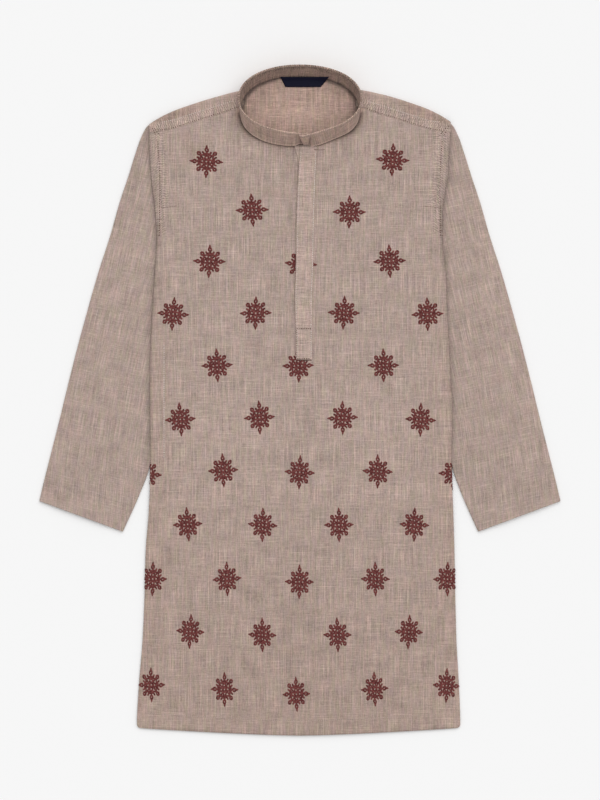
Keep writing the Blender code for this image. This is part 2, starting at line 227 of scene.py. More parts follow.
# The seam lies flatter on the left of the front, and the rim dips towards the closure.
NECK_SKEW = {"x": 46.0, "reach": 19.0, "rise": 3.4}
RIM_DIP = {"x": 4.0, "reach": 16.0, "depth": 4.4}
NECKLINE_TUCK = 1.6
BACK_NECK_TUCK = 1.8
BACK_NECK_RISE = 1.3
BACK_RISE_Y = 370.0
NECK_RISE = 1.1
NECK_RISE_REACH = 9.0
COLLAR_HEIGHT = 25.0
COLLAR_BASE_FRONT = 6.6
COLLAR_BASE_BACK = 2.9
COLLAR_BASE_CHANGE = (374.0, 391.0)
COLLAR_OVER_END = (math.radians(2.2), math.radians(-0.3))
COLLAR_UNDER_END = math.radians(366.5)
COLLAR_LAP = (1.2, -1.0)
COLLAR_LAP_ANGLES = (math.radians(8.0), math.radians(24.0))
COLLAR_END_RISE = 2.4
COLLAR_PLEAT = {"x": 12.0, "reach": 1.3, "depth": 1.3}

LABEL_CORNERS = {"top": (-24.0, 35.5, 393.6), "bottom": (-17.6, 25.4, 381.6)}

# Creases in the front: a line from one end to the other, with its reach and its height. A minus is a trough.
# A pressed crease has a sharp crest instead of a round one.
PRESSED = True
FRONT_CREASES = (
    # x, y, x, y, reach, height
    (-172, -130.5, 190, -130.5, 7, 1.10, PRESSED),
    (20, -168, 182, -166, 6, 0.35, PRESSED),
    (-5, 44, -6, -262, 5, 0.40, PRESSED),
    (-34, -192, -12, -199, 6, 0.80),
    (12, -180, 32, -184, 5, 0.60),
    (-3, 195.5, 22, 193, 5, -0.55),
    (22, 194, 62, 176, 8, -0.45),
    (-64, 98, -18, 73, 7, -0.50),
    (24, 72, 62, 92, 7, -0.50),
    (-146, 319, -124, 282, 6, -0.60),
    (-158, 286, -143, 256, 7, -0.35),
    (144, 315, 126, 284, 7, -0.40),
    (-94, 20, -66, 17, 7, -0.40),
    (70, 17, 96, 20, 7, -0.40),
    (-160, 130, -126, 127, 6, 0.45),
    (124, 130, 164, 126, 7, 0.35),
    (20, 300, 23, 205, 5, -0.45),
    (-10, 300, -11, 210, 6, -0.45),
    (-130, -238, -70, -246, 12, 0.45),
    (62, -236, 134, -246, 12, 0.40),
    (-150, -316, -60, -322, 10, 0.40),
    (56, -318, 150, -312, 10, 0.40),
    (-120, 206, -150, 198, 9, -0.35),
    (116, 208, 152, 200, 9, -0.35),
    (-34, -340, 34, -343, 9, -0.35),
)

# The same for the sleeves, with x counted outwards, so that both sleeves have them.
SLEEVE_CREASES = (
    # x, y, x, y, reach, height
    (222, 5, 186, -40, 7, 0.70),
    (240, 22, 204, 10, 7, -0.40),
    (206, 78, 222, 58, 9, 0.50),
    (264, -92, 290, -116, 10, 0.50),
    (232, -60, 262, -52, 9, 0.40),
    (246, -8, 280, -18, 10, 0.35),
    (192, 128, 232, 108, 10, 0.35),
    (196, 214, 222, 196, 10, -0.30),
    (188, 318, 194, 232, 9, 0.30),
)

# Darker places on the sleeves, painted shade along their creases, and a lighter one, with x counted outwards.
SLEEVE_SHADE_AND_TONES = (
    # x, y, half width, half height, share lighter
    (214, 63, 13, 16, -0.06),
    (275, -104, 40, 24, -0.05),
    (232, 150, 16, 60, 0.03),
    (202, 276, 14, 34, -0.04),
    (222, -66, 50, 44, -0.03),
)

# Painted light and shade on the inside of the back, seen through the neck: lighter in the middle, darker low
# down at the sides, and dark lines along its creases.
BACK_LIGHT_AND_SHADE = (
    # x, y, half width, half height, share lighter
    (0, 352, 36, 16, 0.08),
    (-36, 329, 22, 12, -0.08),
    (31, 329, 22, 12, -0.08),
    (-38, 374.5, 20, 1.6, -0.10),
    (39, 374.5, 12, 1.6, -0.10),
)

# Faint creases on the inside of the back, seen through the neck.
BACK_CREASES = (
    # x, y, x, y, reach, height
    (-58, 374, -16, 379.5, 3, 0.9),
    (30, 379.5, 48, 375, 3, 0.9),
    (-8, 381, -9, 322, 5, 0.20),
)

# The middles of the embroidered stars, row by row. The outermost ones run off the side edges.
STARS = (
    ((-113.9, 290.8), (113, 292.6)),
    ((-58.4, 231.6), (60.5, 229.2)),
    ((-110.3, 168.8), (1, 165.7), (109.3, 169.4)),
    ((-154.8, 104.7), (-54.2, 106), (53.8, 106), (155.7, 104.7)),
    ((-203, 38.9), (-101.1, 41.9), (-2, 41.5), (102, 41.9), (204, 38.9)),
    ((-145.7, -24), (-49.3, -21.5), (52, -22.1), (147, -24)),
    ((-187, -91.1), (-93.8, -86.2), (-0.5, -88.6), (95, -87.4), (187.6, -89.9)),
    ((-137.1, -152.1), (-45.6, -152.7), (47.7, -152.7), (139.5, -152.5)),
    ((-179.5, -218.6), (-88.9, -218.6), (-0.5, -222.2), (92, -218.6), (180, -218.6)),
    ((-133.8, -282.7), (-46, -286.9), (46, -286.9), (133, -283)),
    ((-181.5, -348), (-92, -353.3), (-4.5, -358.9), (91, -353), (179, -348.8)),
)
MOTIF_HALF_WIDTH = (16.9, 20.7)
MOTIF_HALF_HEIGHT = (21.5, 20.3)
MOTIF_Y_RANGE = (-352.4, 291.8)
EMBROIDERY_HEIGHT = 0.5
EDGE_WRAP = 0.5
FLOSS = 0.041

POCKET_X = -165.8
STITCH = {"pitch": 2.6, "length": 1.8, "radius": 0.40}
POCKET_STITCH = {"pitch": 2.6, "length": 2.3, "radius": 0.56}
FOOT_STITCH = {"pitch": 1.7, "length": 2.4, "radius": 0.60}
BOX_STITCH = {"pitch": 2.7, "length": 1.6, "radius": 0.62}
HOLE = {"pitch": 2.7, "length": 1.3, "radius": 0.50}
TACK = {"pitch": 1.5, "length": 1.8, "radius": 0.24}
RIM_STITCH = {"pitch": 2.0, "length": 1.9, "radius": 0.20}

# The felled strip inside each armhole, narrow at its foot.
ARMHOLE_FELLING = (
    # width, y of its foot, border
    (10, 198, 8),
    (20, 236, 3),
)

# The stitch line inside each armhole, the tacks at its foot, and the stitches at the shoulder's tip. Here x
# is counted outwards.
ARMHOLE_STITCH = (
    # y, x
    (200, 171.4),
    (235, 171.2),
    (256, 170.6),
    (285, 171.4),
    (316, 173.4),
)
ARMHOLE_TACKS = (
    # x, y, x, y
    (170, 234.3, 150, 236.4),
    (175.5, 219.4, 168, 220),
    (174.4, 212.5, 170, 213.2),
    (174, 206.5, 169.6, 206),
    (173.8, 201, 170.4, 200.2),
)
NECK_TACKS = (
    # the rows' x, then their y
    ((3, 7.5, 12.5), (14.5, 17.5, 23, 30.5)),
    ((309.4, 308.8, 308.6), (306.9, 305.5, 304.9, 305.6)),
)
TIP_STITCHES = (
    # x, y, x, y
    (182, 334.6, 175.6, 322.6),
    (178.4, 332.2, 169.6, 321.4),
)

# Lighter and darker places in the front: painted shade along its creases and troughs and down its middle
# crease, a lighter band above the pressed fold, lighter hem corners, darker towards the hem, and other uneven
# tone.
FRONT_SHADE_AND_TONES = (
    # x, y, half width, half height, share lighter
    (0, -430, 400, 240, -0.075),
    (0, -60, 26, 420, -0.02),
    (-186, -396, 26, 30, 0.09),
    (186, -396, 26, 30, 0.09),
    (-134, 303, 9, 14, -0.10),
    (-144, 282, 7, 16, -0.05),
    (133, 303, 11, 14, -0.05),
    (0, 275, 30, 22, -0.03),
    (-84, -375, 48, 5, -0.05),
    (88, -375, 52, 5, -0.05),
    (-86, -40, 46, 44, 0.055),
    (86, -40, 46, 44, 0.055),
    (0, -110, 200, 12, 0.04),
    (0, -262, 24, 34, -0.05),
    (-20, -194, 12, 7, -0.06),
    (19, -183, 12, 7, -0.05),
    (-103, -192, 14, 8, -0.04),
    (103, -192, 14, 8, -0.04),
    (-44, 82, 24, 5, -0.04),
    (48, 82, 24, 5, -0.04),
)

# Redder places in the front.
FRONT_WARMTH = (
    # x, y, half width, half height, share
    (0, -430, 400, 260, 0.25),
    (-190, -60, 26, 260, 0.25),
    (190, -60, 26, 260, 0.25),
    (-130, 304, 12, 14, 0.35),
)

# The weave's pitch, and the yarns' colours.
THREAD_PITCH = 0.62
PINK_YARN = (0.434, 0.314, 0.271)
BEIGE_YARN = (0.392, 0.314, 0.248)
MAUVE_YARN = (0.372, 0.283, 0.277)


# The studio, in metres and radians: the floor, the sky, the lamp, and how much of the table the view is high.
FLOOR_Z = -0.0002
SKY_STRENGTH = 0.60
LAMP_STRENGTH = 1.60
LAMP_SPREAD = math.radians(75.0)
LAMP_TURN = (math.radians(-30.0), math.radians(12.0), 0.0)
VIEW_HEIGHT = 0.976


# ---------------------------------------------------------------------------------------------- surfaces


def smooth_step(value):
    """0 below 0, 1 above 1, and an even rise between."""
    value = np.clip(value, 0.0, 1.0)
    return value * value * (3.0 - 2.0 * value)


def hump(distance, reach):
    """e^-(distance/reach)^2: 1 at 0, and less on both sides of it."""
    return np.exp(-((distance / reach) ** 2))


def fade(distance, reach):
    """1 up to a distance of 0, and a hump's far side beyond it."""
    return hump(np.maximum(distance, 0.0), reach)


def join(*columns):
    """Points or pairs from their coordinates, as one last axis."""
    return np.stack(np.broadcast_arrays(*columns), axis=-1)


def unit(vectors):
    """The vectors' directions."""
    return vectors / np.linalg.norm(vectors, axis=-1, keepdims=True)


def distance_along(points):
    """The distance from a path's first point to each of its points."""
    return np.concatenate([[0.0], np.cumsum(np.linalg.norm(np.diff(points, axis=0), axis=-1))])


def along(table, at):
    """A smooth curve through a table's rows, read at values of its first column: one array for each other."""
    rows = np.array(table, float)
    knots, values = rows[:, 0], rows[:, 1:]
    slopes = np.gradient(values, knots, axis=0)
    at = np.clip(np.asarray(at, float), knots[0], knots[-1])
    low = np.clip(np.searchsorted(knots, at, "right") - 1, 0, len(knots) - 2)
    span = (knots[low + 1] - knots[low])[..., None]
    t = (at - knots[low])[..., None] / span
    start = (2 * t**3 - 3 * t**2 + 1) * values[low] + (t**3 - 2 * t**2 + t) * span * slopes[low]
    end = (3 * t**2 - 2 * t**3) * values[low + 1] + (t**3 - t**2) * span * slopes[low + 1]
    return np.moveaxis(start + end, -1, 0)


def neck_skew(x):
    """How far the front's neck seam lies above its oval."""
    return NECK_SKEW["rise"] * hump(x - NECK_SKEW["x"], NECK_SKEW["reach"])


def half_oval(oval, x):
    """How far an oval reaches from its middle along Y, at each x: depth * (1 - |x/width|^n)^(1/n)."""
    inside = np.clip(1.0 - np.abs(x / oval["half_width"]) ** oval["fullness"], 0.0, 1.0)
    return oval["half_depth"] * inside ** (1.0 / oval["fullness"])


def half_width_at(oval, y):
    """How far an oval's upper half reaches from its middle along X, at each y."""
    inside = 1.0 - np.clip((y - oval["middle_y"]) / oval["half_depth"], 0.0, 1.0) ** oval["fullness"]
    return oval["half_width"] * inside ** (1.0 / oval["fullness"])


def round_oval(oval, angle):
    """Points of an oval in plan: angle 0 is the middle of the front, and a quarter turn is the left side."""
    across, down = np.sin(angle), np.cos(angle)
    power = 2.0 / oval["fullness"]
    x = oval["half_width"] * np.sign(across) * np.abs(across) ** power
    y = oval["middle_y"] - oval["half_depth"] * np.sign(down) * np.abs(down) ** power
    return x, y


def creases(table, x, y):
    """The height that a table of creases adds: each is a ridge on a line, e^-(d/reach)^2, or e^-(d/reach)
    where it is pressed, d being the distance from the line, and it fades towards the line's two ends."""
    total = np.zeros(np.broadcast(x, y).shape)
    for x0, y0, x1, y1, reach, height, *pressed in table:
        run = np.array((x1 - x0, y1 - y0))
        length = np.linalg.norm(run)
        along_line = ((x - x0) * run[0] + (y - y0) * run[1]) / length
        beyond = np.maximum(np.maximum(-along_line, along_line - length), 0.0)
        beside = ((x - x0) * run[1] - (y - y0) * run[0]) / length
        distance = np.hypot(beside, beyond) / reach
        end_fade = smooth_step(np.minimum(along_line, length - along_line) / (0.3 * length) + 0.25)
        shape = np.exp(-distance) if pressed else hump(distance, 1.0)
        total += height * shape * end_fade
    return total


def blotches(table, x, y):
    """1 plus a table's soft places: share * e^-(((x - x0) / half width)^2 + ((y - y0) / half height)^2)."""
    total = np.ones(np.broadcast(x, y).shape)
    for x0, y0, half_width, half_height, share in table:
        total += share * hump(x - x0, half_width) * hump(y - y0, half_height)
    return total


def rolling(x, y, height, length):
    """An uneven lie: three crossed waves of unlike lengths, which never repeat over the garment."""
    first = np.sin(x / length * 1.9 + y / length * 0.7 + 0.4)
    second = np.sin(y / length * 2.3 - x / length * 0.9 + 1.7)
    third = np.sin(x / length * 0.8 + y / length * 3.1 + 2.9)
    return height * (first * second + 0.6 * third) / 1.6


def edge_drop(distance):
    """How far a rolled edge has come down at a distance inside it: a quarter circle of EDGE_ROLL."""
    inside = np.clip(distance, 0.0, EDGE_ROLL)
    return EDGE_ROLL - np.sqrt(EDGE_ROLL**2 - (EDGE_ROLL - inside) ** 2)


def hem_y(x):
    """The hem's curve, lowest in the middle."""
    return HEM_MIDDLE_Y + HEM_RISE * np.abs(x / HEM_HALF_WIDTH) ** HEM_POWER


def corner_lift(inset, above_hem):
    """How far a hem's corner has turned up, as a quarter circle of HEM_CORNER that fades out up the side."""
    inside = np.clip(inset, 0.0, HEM_CORNER)
    lift = HEM_CORNER - np.sqrt(HEM_CORNER**2 - (HEM_CORNER - inside) ** 2)
    return lift * (1.0 - smooth_step(above_hem / (4 * HEM_CORNER)))


def shoulder_y(x):
    """The shoulder fold's y, and the depth of the shoulder piece in front of it, down to its seam."""
    fold, depth = along(SHOULDER, np.abs(x))
    lean = np.where(np.asarray(x) < 0, *SHOULDER_LEAN) * smooth_step((np.abs(x) - 40.0) / 80.0)
    return fold + lean, depth + lean


def front_inset(x, y):
    """The distance from the nearer side edge of the front; negative beyond it."""
    right, left = along(FRONT, y)[:2]
    return np.minimum(x + right, left - x)


def neck_distance(x, y):
    """Roughly how far a place lies outside the neck seam, in millimetres."""
    y = y - neck_skew(x) * (y < NECK_SEAM["middle_y"])
    across = np.abs(x / NECK_SEAM["half_width"]) ** NECK_SEAM["fullness"]
    down = np.abs((y - NECK_SEAM["middle_y"]) / NECK_SEAM["half_depth"]) ** NECK_SEAM["fullness"]
    return ((across + down) ** (1.0 / NECK_SEAM["fullness"]) - 1.0) * NECK_SEAM["half_depth"]


def front_height(x, y):
    """The front's own form: the edge height, rising to the middle height, without creases."""
    edge, middle = along(FRONT, y)[2:]
    return edge + (middle - edge) * smooth_step(front_inset(x, y) / FRONT_ROUNDING)


def cloth_top(x, y):
    """The front's outer face with all that shapes it: creases, the rise to the collar, the turned hem, the
    felled armhole and the rolled edges."""
    inset = front_inset(x, y)
    height = front_height(x, y) + creases(FRONT_CREASES, x, y) * smooth_step(inset / 8.0)
    height = height + rolling(x, y, *FRONT_ROLLING) * smooth_step(inset / 40.0)
    height = height + NECK_RISE * fade(neck_distance(x, y), NECK_RISE_REACH)
    above_hem = y - hem_y(x)
    height = height + HEM_THICKNESS * (1.0 - smooth_step((above_hem - HEM_DEPTH) / 2.0 + 0.5))
    height = height + armhole_share(x, y) * 0.35
    fold, depth = shoulder_y(x)
    height = height - YOKE_SINK * smooth_step((y - (fold - depth)) / 1.5) * (np.abs(x) > SHOULDER_START_X)
    return height - edge_drop(inset) - edge_drop(above_hem)


def armhole_share(x, y):
    """1 on the felled strip inside each armhole, above the underarm, and 0 elsewhere, with soft borders."""
    share = 0.0
    for width, foot_y, border in ARMHOLE_FELLING:
        across = 1.0 - smooth_step((front_inset(x, y) - width) / 2.0)
        share = np.maximum(share, across * smooth_step((y - foot_y) / border))
    return share


def front_tone(x, y):
    """How light the front is: its blotches, darker edges, painted shade on both sides of the collar band and
    a painted shadow just under it, and a painted shadow line at each armhole, where the front's side edge
    lies over the sleeve.
    """
    inset = front_inset(x, y)
    # Below: a painted shadow line along each armhole's side edge, a painted shadow under the band's front,
    # and painted shade beside the band, with darker side and hem edges.
    armhole = smooth_step((y + 90.0) / 40.0) * (0.17 + 0.12 * hump(y - 215.0, 70.0))
    in_front = y < NECK_SEAM["middle_y"]
    collar_shadow = 0.60 * fade(neck_distance(x, y) - 1.0, 2.0) * in_front
    edges = 0.16 * fade(neck_distance(x, y), 6.0) * smooth_step((np.abs(x) - 34.0) / 30.0) * in_front
    for distance in (inset, y - hem_y(x)):
        edges = edges + 0.07 * np.exp(-np.maximum(distance, 0.0) / 1.2)
    strip = 0.07 * hump(inset - 15.5, 4.0) * smooth_step((y - 233.0) / 5.0)
    return blotches(FRONT_SHADE_AND_TONES, x, y) - armhole * hump(inset, 3.2) - edges + strip - collar_shadow


# ------------------------------------------------------------------------------------------------ meshes


def grid_quads(rows, columns, keep=None, ring=False, flip=False):
    """Quads between neighbouring rows and columns. A ring's last column joins its first."""
    cells = columns if ring else columns - 1
    row, column = np.meshgrid(np.arange(rows - 1), np.arange(cells), indexing="ij")
    beside = (column + 1) % columns
    quads = join(row * columns + column, row * columns + beside)
    quads = np.concatenate([quads, quads[..., ::-1] + columns], axis=-1)
    quads = quads[keep] if keep is not None else quads.reshape(-1, 4)
    return quads[:, ::-1] if flip else quads


def link(name, data):
    """A new object, in the scene."""
    made = bpy.data.objects.new(name, data)
    bpy.context.scene.collection.objects.link(made)
    return made


def add_mesh(name, points, quads, finish, uv, pucker=None, tone=None, warmth=None, slant=None):
    """An object from points in millimetres, quads, and for each point a UV in millimetres and the attributes
    that its cloth reads: how deeply it is puckered, how light and how warm it is, and how its puckers
    slant."""
    used, numbered = np.unique(quads, return_inverse=True)
    quads = numbered.reshape(-1, 4)
    mesh = bpy.data.meshes.new(name)
    mesh.from_pydata((points.reshape(-1, 3)[used] * MM).tolist(), [], quads.tolist())
    layer = mesh.uv_layers.new(name="cloth")
    layer.uv.foreach_set("vector", (uv.reshape(-1, 2)[used] * MM)[quads.ravel()].astype(np.float32).ravel())
    for (label, plain), values in zip(ATTRIBUTES, (pucker, tone, warmth, slant)):
        values = np.full(len(used), plain) if values is None else values.reshape(-1)[used]
        mesh.attributes.new(label, "FLOAT", "POINT").data.foreach_set("value", values.astype(np.float32))
    mesh.materials.append(finish)
    mesh.shade_smooth()
    piece = link(name, mesh)
    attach(piece, "root")
    return piece


def edge_spaced(length, pitch):
    """Distances along a length, a pitch apart, with closer ones over the rolled edge at each end."""
    edge = np.array((0.0, 0.12, 0.4, 0.9)) * EDGE_ROLL
    inner = np.linspace(2.2 * EDGE_ROLL, length - 2.2 * EDGE_ROLL, max(int(length / pitch), 2))
    return np.concatenate([edge, inner, length - edge[::-1]])


# --------------------------------------------------------------------------------------------- materials


class Socket:
    """A node's output. Arithmetic on it adds Math nodes, so that mask * 0.5 + 1.0 reads as it is meant."""

    def __init__(self, finish, output):
        self.finish = finish
        self.output = output

    def _math(self, operation, first, second):
        return self.finish.node("Math", {0: first, 1: second}, operation=operation)

    def __add__(self, other):
        return self._math("ADD", self, other)

    def __sub__(self, other):
        return self._math("SUBTRACT", self, other)

    def __mul__(self, other):
        return self._math("MULTIPLY", self, other)

class Finish:
    """A material under construction: node() adds any node, and the other methods name the ones used often."""

    def __init__(self, name):
        self.material = bpy.data.materials.new(name)
        self.material.use_nodes = True
        self.tree = self.material.node_tree
        self.shader = self.tree.nodes["Principled BSDF"]

    def node(self, kind, inputs, output=0, **settings):
        """Adds a node with its settings, feeds its inputs, and gives one of its outputs."""
        made = self.tree.nodes.new("ShaderNode" + kind)
        for name, value in settings.items():
            setattr(made, name, value)
        for key, value in inputs.items():
            self.feed(made.inputs[key], value)
        return Socket(self, made.outputs[output])

    def feed(self, socket, value):
        if isinstance(value, Socket):
            self.tree.links.new(value.output, socket)
        else:
            socket.default_value = value

    def shade(self, **inputs):
        """Sends values or links to the shader: base_color feeds Base Color, and so on."""
        for key, value in inputs.items():
            self.feed(self.shader.inputs[key.replace("_", " ").title().replace("Ior", "IOR")], value)

    def streaks(self, place, across, along_grain, seed, detail=2.0):
        """Noise drawn out along the grain, from about -1 to 1; the sizes are millimetres on the cloth."""
        shrunk = (1 / across / MM, 1 / along_grain / MM, 1.0)
        scaled = self.node("Mapping", {"Vector": place, "Location": (seed, 1.7 * seed, 0.0), "Scale": shrunk})
        noise = self.node("TexNoise", {"Vector": scaled, "Scale": 1.0, "Detail": detail})
        return (noise - 0.5) * 4.0

    def wave(self, distance, pitch):
        """A sine of a distance in metres, from -1 to 1, with a pitch in millimetres."""
        return self.node("Math", {0: distance * (2 * math.pi / (pitch * MM))}, operation="SINE")

    def clamp(self, value):
        return self.node("Clamp", {"Value": value})

    def mix(self, share, first, second):
        """A colour between two: all first where share is 0 and all second where it is 1."""
        return self.node("Mix", {0: share, 6: colour4(first), 7: colour4(second)}, 2, data_type="RGBA")

    def scale(self, colour, factor):
        """A colour times a value."""
        return self.node("VectorMath", {0: colour, "Scale": factor}, operation="SCALE")

    def bump(self, height, distance, strength=1.0, normal=None):
        """A normal from a height of 0 to 1, where 1 stands for a distance in millimetres."""
        inputs = {"Strength": strength, "Distance": distance * MM, "Height": height}
        if normal is not None:
            inputs["Normal"] = normal
        return self.node("Bump", inputs)

    def split(self, vector):
        """A vector's X and Y."""
        return [self.node("SeparateXYZ", {0: vector}, axis) for axis in (0, 1)]


def colour4(colour):
    return colour if isinstance(colour, Socket) else (*colour, 1.0)


def woven(name):
    """A new finish, the place on the cloth as U and V, and each of the two."""
    finish = Finish(name)
    place = finish.node("UVMap", {}, uv_map="cloth")
    return finish, place, *finish.split(place)


def chambray(name, tint=(1, 1, 1), weft=1.0, pitch=2.8, gathered_along_u=False, pucker_shade=0.10, seed=0.0, warp=1.0):
    """Slub chambray: pink, beige and mauve yarns, thick and thin, with streaks drawn out along the warp and
    along the weft, over a plain weave. warp and weft say how strongly the threads each way show. The pucker
    attribute raises small gathers at a pitch along V, or along U, which the slant attribute shifts, in
    millimetres. The gathers also lighten and darken the colour: painted shade of the puckers. The tone
    attribute lightens or darkens, with painted shade and painted highlights as well as uneven tone, and the
    warmth attribute reddens."""
    finish, place, u, v = woven(name)
    read = [finish.node("Attribute", {}, 2, attribute_name=label) for label, _ in ATTRIBUTES]
    gather, light, warmth, slant = read
    tone = finish.streaks(place, 3.0, 26.0, seed + 3.1)
    beige = finish.clamp(tone * 1.3 + 0.5)
    mauve = finish.clamp(finish.streaks(place, 6.0, 16.0, seed + 11.7) * 0.6 + 0.36)
    colour = finish.mix(mauve * 0.6, finish.mix(beige, PINK_YARN, BEIGE_YARN), MAUVE_YARN)
    fine = finish.streaks(place, 0.95, 42.0, seed + 17.9, 1.0)
    thick = finish.streaks(place, 0.90, 7.0, seed + 47.0, 1.0)
    slub = finish.streaks(place, 1.5, 22.0, seed + 5.3)
    band = finish.streaks(place, 4.5, 60.0, seed + 29.0, 1.0)
    cross = finish.streaks(place, 30.0, 0.90, seed + 23.5, 1.0)
    short = finish.streaks(place, 6.0, 0.95, seed + 53.0, 1.0)
    cloud = finish.streaks(place, 21.0, 18.0, seed + 37.0, 3.0)
    grain = finish.streaks(place, 1.0, 1.5, seed + 61.0, 1.0)
    depth = (fine * 0.155 + thick * 0.125 + slub * 0.045 + band * 0.045) * warp
    depth = depth + (cross * 0.10 + short * 0.115) * weft + cloud * 0.10 + grain * 0.105
    pale_threads = finish.clamp(fine * 1.7 - 0.55) * warp + finish.clamp(cross * 1.7 - 0.55) * weft
    depth = depth + pale_threads * 0.16 - 0.025
    distance = (u if gathered_along_u else v) + slant * MM
    uneven = finish.streaks(place, 5.0, 5.0, seed + 41.0)
    ribs = finish.wave(distance + uneven * 0.0015, pitch)
    # The gathers' ribs lighten and darken the colour, painted shade of the puckers, and the tone attribute
    # scales it, painted light and shade included.
    share = (depth * 1.06 + ribs * gather * pucker_shade + 1.0) * light
    colour = finish.scale(colour, share)
    for stain in (tint, finish.mix(warmth, (1.0, 1.0, 1.0), (1.0, 0.90, 0.83))):
        colour = finish.node("VectorMath", {0: colour, 1: stain}, operation="MULTIPLY")
    weave = finish.wave(u, THREAD_PITCH) * finish.wave(v, THREAD_PITCH)
    plain_weave = finish.bump(weave * 0.5 + 0.5, 0.05, 0.5)
    relief = (fine + thick) * 0.12 + (cross + short) * (0.10 * weft) + slub * 0.2 + 0.5
    puckered = finish.bump(ribs * gather * 0.5 + 0.5, 0.45, 1.0, finish.bump(relief, 0.14, 0.6, plain_weave))
    finish.shade(base_color=colour, normal=puckered, roughness=0.86, specular_ior_level=0.25)
    finish.shade(sheen_weight=0.12, sheen_roughness=0.5)
    return finish.material


def maroon_thread():
    """Embroidery floss: satin stitches laid across each stroke, so that fine grooves run across it."""
    finish, place, u, v = woven("maroon_thread")
    uneven = finish.streaks(place, 2.6, 2.6, 2.0)
    floss = finish.wave(u + v * 0.35 + uneven * 0.0001, THREAD_PITCH)
    shade = finish.clamp(finish.streaks(place, 3.0, 3.0, 7.0) * 0.7 + 0.45)
    colour = finish.mix(shade, (0.070, 0.0090, 0.0085), (0.205, 0.0520, 0.0470))
    # The grooves are painted darker and lighter in the colour as well as bumped: painted shade.
    colour = finish.scale(colour, floss * 0.16 + 1.0)
    finish.shade(base_color=colour, normal=finish.bump(floss * 0.5 + 0.5, 0.12, 0.8))
    finish.shade(roughness=0.60, specular_ior_level=0.22, sheen_weight=0.04)
    return finish.material


def sewing_thread(name, colour):
    """Spun sewing thread: two plies twisted round each other, drawn as slanting bands."""
    finish, _, u, v = woven(name)
    twist = finish.wave(u + v, 0.5)
    # The twist's bands are painted darker and lighter in the colour as well as bumped: painted shade.
    finish.shade(base_color=finish.scale(colour, twist * 0.12 + 1.0))
    finish.shade(normal=finish.bump(twist * 0.5 + 0.5, 0.06), roughness=0.7)
    return finish.material


def label_satin():
    """Navy satin ribbon, woven with fine ribs across, and left bare."""
    finish, place, _, v = woven("label_satin")
    ribs = finish.wave(v, 0.45)
    mottle = finish.streaks(place, 4.0, 1.0, 3.0)
    finish.shade(base_color=finish.scale((0.0048, 0.0050, 0.0185), mottle * 0.2 + 1.0))
    finish.shade(normal=finish.bump(ribs * 0.5 + 0.5, 0.04), roughness=0.7, specular_ior_level=0.15)
    return finish.material


def floor_paint():
    """A pale, matt studio floor with a trace of mottling."""
    finish = Finish("floor_paint")
    place = finish.node("TexCoord", {}, 3)
    mottle = finish.node("TexNoise", {"Vector": place, "Scale": 3.0, "Detail": 3.0})
    finish.shade(base_color=finish.scale((0.9, 0.9, 0.9), mottle * 0.004 + 0.998))
    finish.shade(roughness=0.95, specular_ior_level=0.0)
    return finish.material


# -------------------------------------------------------------------------------------------- the pieces


def lay_sheet(piece, node, thickness=CLOTH):
    """Gives a cloth piece its thickness, inwards from its outer face, and hides the solid that it replaces."""
    wall = piece.modifiers.new("wall", "SOLIDIFY")
    wall.thickness = thickness * MM
    wall.offset = -1.0
    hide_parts(node)


def body_grid():
    """The front's nominal columns, from the right edge to the left, and its rows of y from the hem up.

    A column's nominal x is scaled to the front's width at each row. Rows follow the hem's curve at the bottom
    and the neck and shoulder seams at the top.
    """
    half = edge_spaced(NOMINAL_HALF_WIDTH, COLUMN_PITCH)
    half = NOMINAL_HALF_WIDTH - half[half < NOMINAL_HALF_WIDTH - SLIT_EDGES[1] - 1.5]
    nominal = np.concatenate([-half, np.linspace(-7.5, 3.5, 5), SLIT_EDGES, half[::-1]])
    fold, depth = shoulder_y(nominal)
    lap = np.minimum(SHOULDER_HEM_LAP, depth - SHOULDER_FOLD_CLEARANCE)
    neck = NECK_SEAM["middle_y"] - half_oval(NECK_SEAM, nominal) + NECKLINE_TUCK + neck_skew(nominal)
    top = np.where(np.abs(nominal) > NECK_SEAM["half_width"] + 1.0, fold - depth + lap, neck)
    low_y = HEM_MIDDLE_Y + HEM_RISE + 24.0
    bottom = edge_spaced(2 * HEM_DEPTH, ROW_PITCH)[:-4]
    bottom = bottom / bottom[-1]
    rows = [hem_y(nominal) + (low_y - hem_y(nominal)) * share for share in bottom]
    middle = np.arange(low_y, BODY_TOP_Y, ROW_PITCH)[1:]
    rows += [np.full(len(nominal), y) for y in middle]
    rows += [middle[-1] + (top - middle[-1]) * share for share in np.linspace(0.0, 1.0, 24)[1:]]
    return nominal, np.array(rows)


def make_front(finish):
    """The front: z = cloth_top(x, y) on the body grid, slit down to the placket's foot."""
    nominal, y = body_grid()
    right, left = along(FRONT, y)[:2]
    x = nominal / NOMINAL_HALF_WIDTH * np.where(nominal < 0, right, left)
    lifted = y + corner_lift(front_inset(x, y), y - hem_y(x))
    points = join(x, lifted, cloth_top(x, y))
    keep = np.ones((len(y) - 1, len(nominal) - 1), bool)
    keep[y[1:, 0] > SLIT_BOTTOM, int(np.searchsorted(nominal, SLIT_EDGES[0]))] = False
    inset = front_inset(x, y)
    felled = armhole_share(x, y) * (0.55 + 0.45 * hump(inset - 11.0, 5.0))
    neck = 0.4 * fade(neck_distance(x, y), 4.0)
    quads = grid_quads(*y.shape, keep)
    # Redder along the neck seam, where the painted shadow under the collar falls.
    warmth = blotches(FRONT_WARMTH, x, y) - 1.0 + 0.8 * hump(neck_distance(x, y), 3.5)
    shading = (felled + neck, front_tone(x, y), warmth, 0.7 * np.maximum(11.0 - inset, 0.0))
    front = add_mesh("front", points, quads, finish, points[..., :2], *shading)
    lay_sheet(front, "front_panel")


def back_rise(y):
    """0 on the flat of the back, and 1 where it has risen to the collar's foot."""
    return smooth_step((y - BACK_RISE_Y) / 8.0)


